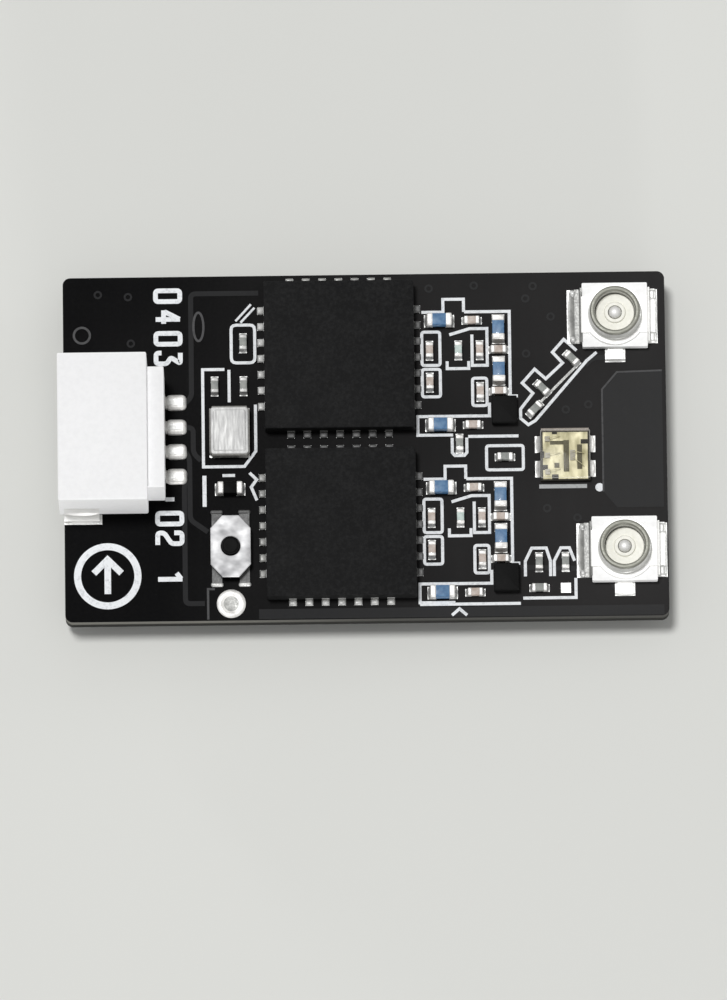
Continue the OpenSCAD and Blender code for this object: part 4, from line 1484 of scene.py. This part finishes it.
@dataclass
class SignalLight:
    """The signal light: gold lead frame, dies and bond wires under clear resin.

    A bar is given by both its ends and its width, and a wire by both its ends.
    """

    at: Place = (7.95, -0.525, Level.SEAT)
    width: float = 2.0
    lens_low: float = 0.1
    lens_high: float = 0.65
    frame_top: float = 0.23
    bar_step: float = 0.001
    wire_r: float = 0.012
    wire_start: float = 0.1
    wire_rise: float = 0.14
    wire_ends: tuple[tuple[Point, Point], ...] = (
        ((-0.71, -0.667), (-0.2, -0.567)),
        ((-0.71, 0.0), (-0.2, 0.1)),
        ((-0.71, 0.667), (-0.2, 0.767)),
        ((0.29, -0.12), (0.76, -0.464)),
        ((0.29, 0.12), (0.76, 0.064)),
    )
    resist_rise: float = 0.012
    resist_bars: tuple[Bar, ...] = (
        (0.04, -0.66, 0.04, 0.62, 0.22),
        (0.57, -0.56, 0.57, 0.44, 0.2),
        (-0.6, 0.52, -0.06, 0.52, 0.15),
        (-0.44, -0.4, -0.24, -0.4, 0.2),
    )
    spot_rise: float = 0.018
    spot_bars: tuple[Bar, ...] = (
        (0.62, 0.56, 0.97, 0.56, 0.18),
        (-0.97, -0.48, -0.7, -0.48, 0.2),
        (-0.54, -0.87, -0.28, -0.87, 0.2),
        (-0.52, 0.93, -0.32, 0.93, 0.13),
        (-0.945, -0.95, -0.945, 0.95, 0.1),
        (0.945, -0.95, 0.945, 0.95, 0.1),
        (-0.96, 0.04, -0.84, 0.04, 0.26),
    )
    bridge_rise: float = 0.003
    bridge_bars: tuple[Bar, ...] = (
        (-0.425, -0.94, -0.425, 0.94, 0.16),
        (0.05, -0.94, 0.05, -0.58, 0.16),
        (0.525, -0.94, 0.525, -0.5, 0.16),
        (0.05, 0.6, 0.05, 0.94, 0.16),
        (0.525, 0.4, 0.525, 0.94, 0.16),
        (-0.92, 0.333, -0.46, 0.333, 0.16),
        (-0.92, -0.333, -0.46, -0.333, 0.16),
    )

    def wires(self) -> Surface:
        """Bond wires from each die down to the next bar, as arches z = a (1 - t) + h 4 t (1 - t).

        Returns:
            The wires.
        """
        t = np.linspace(0.0, 1.0, 11)[:, None]
        rise = self.frame_top + self.wire_start * (1 - t) + self.wire_rise * 4 * t * (1 - t)
        flat = [np.array(start) * (1 - t) + np.array(stop) * t for start, stop in self.wire_ends]
        return Surface.joined([tube(np.concatenate([path, rise], axis=1), self.wire_r) for path in flat])

    def bars(self, bars: tuple[Bar, ...], rise: float) -> Surface:
        """Low bars along X or Y on the lead frame.

        Args:
            bars: Both ends of each bar and its width.
            rise: Height of the first bar over the frame; each next one is a hair higher.

        Returns:
            The bars as one surface.
        """
        low, high = self.frame_top - EASE, self.frame_top + rise
        return Surface.joined(
            [
                stroke([(x0, y0), (x1, y1)], width, low, high + self.bar_step * place)
                for place, (x0, y0, x1, y1, width) in enumerate(bars)
            ]
        )

    def rim(self) -> Surface:
        """The pale strip on the board along the light's rear side."""
        low = Level.BOARD_TOP - Level.SEAT
        return stroke([(-0.95, 1.09), (0.95, 1.09)], 0.16, low - 0.01, low + 0.012)

    def lens(self) -> Surface:
        """The clear block of resin, its upper edges rounded and its foot let into the substrate."""
        wide = self.width - EASE
        return moulded((wide, wide), self.lens_low, self.lens_high, 0.06, 0.05)

    def solder(self) -> Surface:
        """Solder against the two rows of lands at the sides."""
        half = self.width / 2
        return fillet(0.66, 0.2, 0.19).scattered(
            [(half, -0.5, 0.0), (half, 0.5, 0.0), (-half, -0.5, 180.0), (-half, 0.5, 180.0)]
        )

    def build(self, shop: Workshop) -> None:
        """Dress the light, string its wires and solder it.

        Args:
            shop: Where pieces are made.
        """
        shop.dress(Finish.SUBSTRATE, "light_substrate")
        shop.dress(Finish.GOLD, "light_frame")
        shop.dress(Finish.DIE, "light_dies")
        shop.piece("light_resin", self.lens(), Finish.CLEAR, self.at, "light_lens")
        for name, shape, finish in (
            ("light_bond_wires", self.wires(), Finish.GOLD),
            ("light_bridges", self.bars(self.bridge_bars, self.bridge_rise), Finish.GOLD),
            ("light_resist", self.bars(self.resist_bars, self.resist_rise), Finish.OLIVE),
            ("light_spots", self.bars(self.spot_bars, self.spot_rise), Finish.SUBSTRATE),
            ("light_rim", self.rim(), Finish.RIM),
            ("light_solder", self.solder(), Finish.ENDS),
        ):
            shop.piece(name, shape, finish, self.at)


class Digits(Enum):
    """Plain digits as strokes, upright, each about half as wide as it is high."""

    ZERO = (((0.0, 0.55), (0.0, 1.1), (0.5, 1.1), (0.5, 0.0), (0.0, 0.0), (0.0, 0.55)),)
    ONE = (((0.32, 0.0), (0.32, 1.1)), ((0.3, 1.04), (0.04, 0.84)))
    TWO = (((0.0, 0.75), (0.0, 1.1), (0.5, 1.1), (0.5, 0.62), (0.0, 0.3), (0.0, 0.0), (0.55, 0.0)),)
    THREE = (((0.0, 1.1), (0.5, 1.1), (0.2, 0.66), (0.5, 0.5), (0.5, 0.0), (0.0, 0.0), (0.0, 0.25)),)
    FOUR = (((0.42, 0.0), (0.42, 1.1)), ((0.42, 1.08), (0.06, 0.4)), ((0.0, 0.36), (0.62, 0.36)))


@dataclass
class Board:
    """The board's mask, copper areas, printed legend and test pad."""

    top: float = Level.BOARD_TOP
    sunk: float = 0.01
    line: float = 0.12
    thick_line: float = 0.16
    thin_line: float = 0.09
    border_line: float = 0.07
    rise: float = 0.012
    hair: float = 0.0015
    hairs: int = 6
    channel_step: float = -6.8
    dot_r: float = 0.17
    dot_at: Point = (9.3, -1.78)
    number_x: float = -8.3
    number_size: float = 0.88
    numbers: tuple[tuple[tuple[Digits, ...], float], ...] = (
        ((Digits.ZERO, Digits.FOUR), 6.44),
        ((Digits.ZERO, Digits.THREE), 4.7),
        ((Digits.ZERO, Digits.TWO), -2.62),
        ((Digits.ONE,), -5.02),
    )
    digit_line: float = 0.19
    digit_step: float = 0.8
    digit_round: float = 0.14
    arrow_at: Point = (-10.3, -5.15)
    arrow_ring: Point = (1.06, 1.34)
    arrow_line: float = 0.26
    copper_rise: float = 0.01
    copper_area: tuple[Point, ...] = (
        (9.45, -1.95), (10.0, -2.6), (11.85, -2.6), (11.85, 2.95), (10.05, 2.9), (9.45, 2.2),
    )
    margin: tuple[Point, ...] = ((-4.3, -6.76), (11.8, -6.76))
    margin_w: float = 0.4
    margin_drop: float = 0.002
    track_w: float = 0.2
    track_bend: float = 0.2
    tracks: tuple[tuple[Point, ...], ...] = (
        ((-7.15, 1.85), (-6.9, 2.1), (-6.9, 6.3), (-4.2, 6.3)),
        ((-7.15, 0.85), (-6.85, 0.85), (-6.85, -0.2), (-6.55, -0.5)),
        ((-7.15, -0.15), (-7.0, -0.4), (-7.0, -2.9), (-6.3, -3.4)),
        ((-7.15, -1.15), (-7.22, -1.5), (-7.22, -6.3), (-6.45, -6.3)),
        ((6.1, -5.0), (6.6, -5.0), (9.4, -5.1), (9.9, -5.9)),
        ((8.8, 3.2), (9.1, 3.5), (9.7, 3.5)),
    )
    feed_path: tuple[Point, ...] = ((6.5, 1.2), (7.0, 1.72), (8.5, 3.22))
    feed_w: float = 0.1
    feed_rise: float = 0.011
    via_rise: float = 0.008
    via_radii: Point = (0.09, 0.17)
    vias: tuple[Point, ...] = (
        (6.45, 5.95), (6.75, 6.45), (7.45, 5.2), (6.45, 3.7), (4.4, 6.5), (2.6, 6.4), (-9.4, 6.2),
        (-10.6, 6.3), (-9.3, 4.3), (9.2, -3.1), (8.4, -3.0), (7.2, -2.6), (8.9, 1.6), (8.0, 1.4),
    )
    pad_at: Place = (-5.4, -6.325, Level.BOARD_TOP)
    pad_r: float = 0.575
    dimple_r: float = 0.3

    def layered(self, lines: Sequence[Surface]) -> Surface:
        """Join printed lines, each a hair above the last, so that no two share a face where they cross."""
        rises = self.hair * (np.arange(len(lines)) % self.hairs)
        return Surface.joined([line.moved(z=rise) for line, rise in zip(lines, rises)])

    def drawn(self, points: Sequence[Point] | np.ndarray, width: float = 0.0) -> Surface:
        """One printed line, of the common width where none is given."""
        return stroke(points, width or self.line, self.top - self.sunk, self.top + self.rise)

    def boxed(self, low: Point, high: Point, corner: float = 0.1) -> Surface:
        """A printed outline with softened corners, closed at the middle of its left side.

        Args:
            low: Its front left corner.
            high: Its rear right corner.
            corner: How far each corner's curve reaches.

        Returns:
            The outline.
        """
        (x0, y0), (x1, y1) = low, high
        middle = (x0, (y0 + y1) / 2)
        return self.drawn(rounded_path([middle, (x0, y1), (x1, y1), (x1, y0), (x0, y0), middle], corner, 3))

    def ringed(self, inner: float, outer: float, rise: float, segments: int) -> Surface:
        """A flat ring on the board."""
        low, high = self.top - self.sunk, self.top + rise
        return revolved([(inner, low), (outer, low), (outer, high), (inner, high)], segments, hollow=True)

    def channel_lines(self) -> Surface:
        """Outlines round the parts of one channel, for the rear channel's place.

        Returns:
            The outlines as one surface.
        """
        line, box = self.drawn, self.boxed
        return self.layered(
            [
                line([(2.3, 5.43), (3.16, 5.43), (3.16, 5.95), (3.98, 5.95), (3.98, 5.43)]),
                line([(4.0, 5.43), (5.8, 5.43), (5.8, 1.98), (6.1, 1.98)]),
                box((2.3, 3.26), (3.02, 4.62)),
                box((2.3, 1.98), (3.02, 3.1)),
                line([(3.3, 3.42), (3.3, 3.12), (4.16, 3.12), (4.16, 3.42)]),
                line([(3.4, 4.5), (4.2, 4.74), (4.9, 4.74), (4.9, 3.24), (4.3, 3.24), (4.3, 4.5)]),
                box((4.3, 1.6), (4.87, 2.72)),
                line([(3.5, 0.42), (2.1, 0.42), (2.1, 1.18), (4.96, 1.18), (4.96, 1.72)]),
                line([(4.1, 0.35), (6.1, 0.35)]),
            ]
        )

    def antenna_line(self) -> Surface:
        """The stepped outline round the parts on the way to the rear antenna socket.

        Returns:
            The outline.
        """
        near = [(9.26, 3.72), (8.86, 3.38), (6.78, 0.96), (6.5, 0.8), (6.2, 1.06), (6.2, 1.44), (6.7, 2.08)]
        far = [(6.28, 2.5), (6.78, 3.06), (7.22, 2.66), (7.9, 3.3), (7.5, 3.74), (7.96, 4.26), (8.46, 3.8)]
        return self.drawn(near + far)

    def legend(self) -> Surface:
        """Every outline and mark of the legend.

        Returns:
            The marks as one surface.
        """
        line, rear = self.drawn, self.channel_lines()
        control = [(-5.58, 3.2), (-6.45, 3.2), (-6.45, -0.76), (-4.82, -0.76), (-4.36, -0.14), (-4.36, 1.75)]
        dot = [(self.dot_r, self.top - self.sunk), (self.dot_r, self.top + self.rise)]
        return self.layered(
            [
                rear,
                rear.moved(0.0, self.channel_step),
                line(control),
                line([(-5.4, 3.18), (-5.4, 1.86)]),
                self.boxed((-5.3, 3.46), (-4.36, 5.0), 0.2),
                line([(-5.12, 5.16), (-4.5, 5.84)], self.thin_line),
                line([(-4.92, 5.1), (-4.36, 5.7)], self.thin_line),
                line([(-6.42, -1.12), (-6.42, -2.38)], self.thick_line),
                line([(-4.62, -1.02), (-4.34, -1.3), (-4.56, -1.6), (-4.34, -2.14)]),
                line([(-5.7, -1.12), (-5.2, -1.12)]),
                line([(-7.98, -2.06), (-7.62, -2.06)], self.thick_line),
                line([(3.46, 0.3), (3.46, -0.3), (3.56, -0.42), (3.94, -0.42), (4.04, -0.3), (4.04, 0.3)]),
                self.boxed((4.82, -1.02), (6.28, -0.04)),
                line([(2.1, -6.45), (4.1, -6.45)]),
                line([(3.36, -6.9), (3.66, -6.64), (3.96, -6.9)]),
                line([(6.3, -5.36), (6.3, -4.75), (6.56, -4.22), (7.14, -4.22), (7.3, -4.75), (7.3, -5.36)]),
                line([(7.45, -5.36), (7.45, -4.75), (7.72, -4.22), (8.06, -4.22), (8.26, -4.75)]),
                line([(6.2, -6.24), (8.3, -6.24), (8.3, -5.45)]),
                self.antenna_line(),
                revolved(dot, 24).moved(*self.dot_at),
            ]
        )

    def number(self, digits: tuple[Digits, ...], y: float) -> Surface:
        """A number that reads downwards, beside the wire socket.

        Args:
            digits: Its digits.
            y: Rear end of the first digit.

        Returns:
            The printed digits.
        """
        lines = []
        for place, digit in enumerate(digits):
            for path in digit.value:
                across, up = (rounded_path(path, self.digit_round) * self.number_size).T
                turned = np.stack([self.number_x + up, y - across - self.digit_step * place], axis=-1)
                lines.append(self.drawn(turned, self.digit_line))
        return self.layered(lines)

    def arrow(self) -> Surface:
        """A plain bold arrow in a ring.

        Returns:
            Both as one surface.
        """
        x, y = self.arrow_at
        ring = self.ringed(*self.arrow_ring, self.rise, 64).moved(x, y)
        head = self.drawn([(x - 0.55, y + 0.12), (x, y + 0.67), (x + 0.55, y + 0.12)], self.arrow_line)
        return self.layered([ring, head, self.drawn([(x, y + 0.56), (x, y - 0.72)], self.arrow_line)])

    def copper(self) -> Surface:
        """Copper under the mask: the broad area at the antenna end and a few tracks, as low raised plates.

        Returns:
            All of it as one surface.
        """
        low, high = self.top - self.sunk, self.top + self.copper_rise
        area = raised(np.stack([self.copper_area] * 2), np.array([low, high]))
        margin = stroke(self.margin, self.margin_w, low, high - self.margin_drop)
        bent = [rounded_path(path, self.track_bend) for path in self.tracks]
        tracks = [stroke(path, self.track_w, low, high) for path in bent]
        return Surface.joined([area, margin, *tracks])

    def faint_marks(self) -> Surface:
        """Faint relief: an oval, a via ring, the square round the test pad and the copper area's border.

        Returns:
            The marks as one surface.
        """
        angle = np.linspace(0.0, FULL_TURN, 33)
        round_path = np.stack([np.cos(angle), np.sin(angle)], axis=-1)
        oval = round_path * (0.2, 0.58) + (-6.6, 4.95)
        via = round_path * 0.32 + (-11.25, 4.65)
        square = [(-6.32, -6.95), (-6.32, -5.72), (-6.05, -5.72)]
        border = [(9.45, -1.95), (9.45, 2.2), (10.05, 2.9), (11.85, 2.95)]
        marks = [self.drawn(path, self.thin_line) for path in (oval, via, square)]
        return self.layered([*marks, self.drawn(border, self.border_line)])

    def test_pad(self) -> Surface:
        """The round tinned pad, crowned towards its rim, round a dished middle.

        Returns:
            The pad.
        """
        r, d = self.pad_r, self.dimple_r
        crown = [(r, 0.0), (r, 0.02), (r - 0.05, 0.04), (r - 0.15, 0.05), (d + 0.1, 0.046), (d, 0.03)]
        return revolved([(d, 0.004), *crown], 56, hollow=True)

    def pad_hole(self) -> Surface:
        """The dull dished floor in the pad's middle."""
        d = self.dimple_r
        return revolved([(d, 0.004), (d, 0.026), (0.6 * d, 0.014), (AXIS_GAP, 0.012)], 40)

    def build(self, shop: Workshop) -> None:
        """Dress the board and its lands, and print it.

        Args:
            shop: Where pieces are made.
        """
        shop.dress(Finish.MASK, "circuit_board")
        shop.dress(Finish.TIN, "top_lands", "underside_lands")
        vias = self.ringed(*self.via_radii, self.via_rise, 20).scattered([(*at, 0.0) for at in self.vias])
        feed = stroke(self.feed_path, self.feed_w, self.top - self.sunk, self.top + self.feed_rise)
        for name, shape, finish in (
            ("legend_lines", self.legend(), Finish.INK),
            ("legend_light_bar", self.drawn([(6.9, -1.72), (8.8, -1.72)], self.thick_line), Finish.THIN_INK),
            ("legend_numbers", Surface.joined([self.number(*row) for row in self.numbers]), Finish.INK),
            ("legend_arrow", self.arrow(), Finish.INK),
            ("legend_faint", self.faint_marks(), Finish.FAINT_INK),
            ("masked_copper", self.copper(), Finish.POUR),
            ("masked_vias", vias, Finish.POUR),
            ("feed_track", feed, Finish.DULL_TIN),
        ):
            shop.piece(name, shape, finish)
        shop.piece("test_pad_tinned", self.test_pad(), Finish.ENDS, self.pad_at, "test_pad")
        shop.piece("test_pad_middle", self.pad_hole(), Finish.DULL_TIN, self.pad_at)


@dataclass
class Underside:
    """The plain parts under the board."""

    chips: tuple[str, ...] = ("controller", "regulator")
    metal: tuple[str, ...] = ("controller_leads", "regulator_leads", "supply_capacitor_ends")

    def build(self, shop: Workshop) -> None:
        """Dress the chips, the crystal and the supply capacitors.

        Args:
            shop: Where nodes are dressed.
        """
        shop.dress(Finish.COMPOUND, *self.chips)
        shop.dress(Finish.TIN, *self.metal)
        shop.dress(Finish.CERAMIC, "crystal_base")
        shop.dress(Finish.LID, "crystal_lid")
        shop.dress(Finish.TAN, "supply_capacitors")


@dataclass(frozen=True)
class Lamp:
    """A wide soft lamp, so far off that it lights the whole floor alike.

    It has a direction from the receiver, an angular width in degrees, which softens shadows, and a strength.
    """

    name: str
    toward: Size
    spread: float
    strength: float

    def build(self) -> None:
        """Set the lamp out, turned to the receiver."""
        light = bpy.data.lights.new(self.name, "SUN")
        light.angle = math.radians(self.spread)
        light.energy = self.strength
        obj = set_out(self.name, light)
        obj.location = Vector(self.toward)
        obj.rotation_euler = (-Vector(self.toward)).to_track_quat("-Z", "Y").to_euler()


@dataclass
class Studio:
    """Floor, soft light and camera, in metres."""

    elevation: float = 78.3
    roll: float = -0.7
    distance: float = 0.6
    near: float = 0.01
    far: float = 10.0
    picture: tuple[int, int] = (727, 1000)
    sensor: float = 36.0
    board_l: float = 0.024
    board_share: float = 0.83
    aim: Size = (-0.0001, -0.0022, 0.002)
    floor_half: float = 3.0
    sky: float = 0.3
    sky_colour: Colour = (1.0, 1.0, 1.0)
    backdrop: Colour = (0.69, 0.695, 0.67)
    lamps: tuple[Lamp, ...] = (
        Lamp("key", (-0.15, 0.15, 0.977), 12.0, 1.96),
        Lamp("front", (0.1, -0.992, 0.08), 9.0, 1.5),
        Lamp("right", (0.98, 0.18, 0.08), 9.0, 0.9),
        Lamp("rear", (-0.6, 0.796, 0.08), 9.0, 0.9),
    )

    def floor(self) -> None:
        """A wide pale floor under the resting face."""
        h = self.floor_half
        mesh = bpy.data.meshes.new("floor")
        mesh.from_pydata([(-h, -h, 0.0), (h, -h, 0.0), (h, h, 0.0), (-h, h, 0.0)], [], [(0, 1, 2, 3)])
        mesh.materials.append(PlainFloor().make())
        set_out("floor", mesh)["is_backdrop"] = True

    def world(self) -> None:
        """An even sky that shows the backdrop's colour to the camera, to gloss and through clear parts."""
        bpy.context.scene.world = bpy.data.worlds.new("studio")
        g = Graph(bpy.context.scene.world)
        sky = g.tree.nodes["Background"]
        g.feed(sky.inputs["Color"], self.sky_colour)
        g.feed(sky.inputs["Strength"], self.sky)
        backdrop = g.add("ShaderNodeBackground", None, {"Color": self.backdrop})
        rays = ("Is Camera Ray", "Is Glossy Ray", "Is Transmission Ray")
        camera, gloss, clear = (g.add("ShaderNodeLightPath", output=ray) for ray in rays)
        seen = camera.or_larger(gloss).or_larger(clear)
        both = g.add("ShaderNodeMixShader", None, {0: seen, 1: Wire(g, sky.outputs[0]), 2: backdrop})
        g.feed(g.tree.nodes["World Output"].inputs["Surface"], both)

    def camera(self) -> None:
        """A long lens at the photograph's viewing angle, drawn in on the board."""
        data = bpy.data.cameras.new("camera")
        wide = self.sensor * self.picture[0] / self.picture[1]
        data.sensor_width = self.sensor
        data.lens = wide * self.distance * self.board_share / self.board_l
        data.clip_start = self.near
        data.clip_end = self.far
        rise = math.radians(self.elevation)
        away = Vector((0.0, -math.cos(rise), math.sin(rise)))
        turn = (-away).to_track_quat("-Z", "Y").to_matrix() @ Matrix.Rotation(math.radians(self.roll), 3, "Z")
        obj = set_out("camera", data)
        obj.matrix_world = Matrix.Translation(Vector(self.aim) + away * self.distance) @ turn.to_4x4()
        bpy.context.scene.camera = obj

    def build(self) -> None:
        """Set up the whole studio."""
        self.floor()
        self.world()
        for lamp in self.lamps:
            lamp.build()
        self.camera()
        bpy.context.scene.view_settings.view_transform = "Standard"


def corners() -> list[list[float]]:
    """The whole object's box as plain lists."""
    low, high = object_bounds()
    return [list(low), list(high)]


def main() -> None:
    """Load the frame and build every sub-assembly round it."""
    logging.basicConfig(level=logging.INFO, format="%(name)s %(message)s")
    for stray in list(bpy.data.objects):
        bpy.data.objects.remove(stray)
    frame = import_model()
    Studio().build()
    shop = Workshop(frame["nodes"])
    for assembly in (
        Board(),
        WireSocket(),
        AntennaSocket("rear", (10.0, 5.15, Level.SEAT)),
        AntennaSocket("front", (10.25, -4.35, Level.SEAT)),
        Transceivers(),
        Oscillator(),
        BindButton(),
        SignalLight(),
        ChipParts(),
        Underside(),
    ):
        assembly.build(shop)


if __name__ == "__main__":
    main()
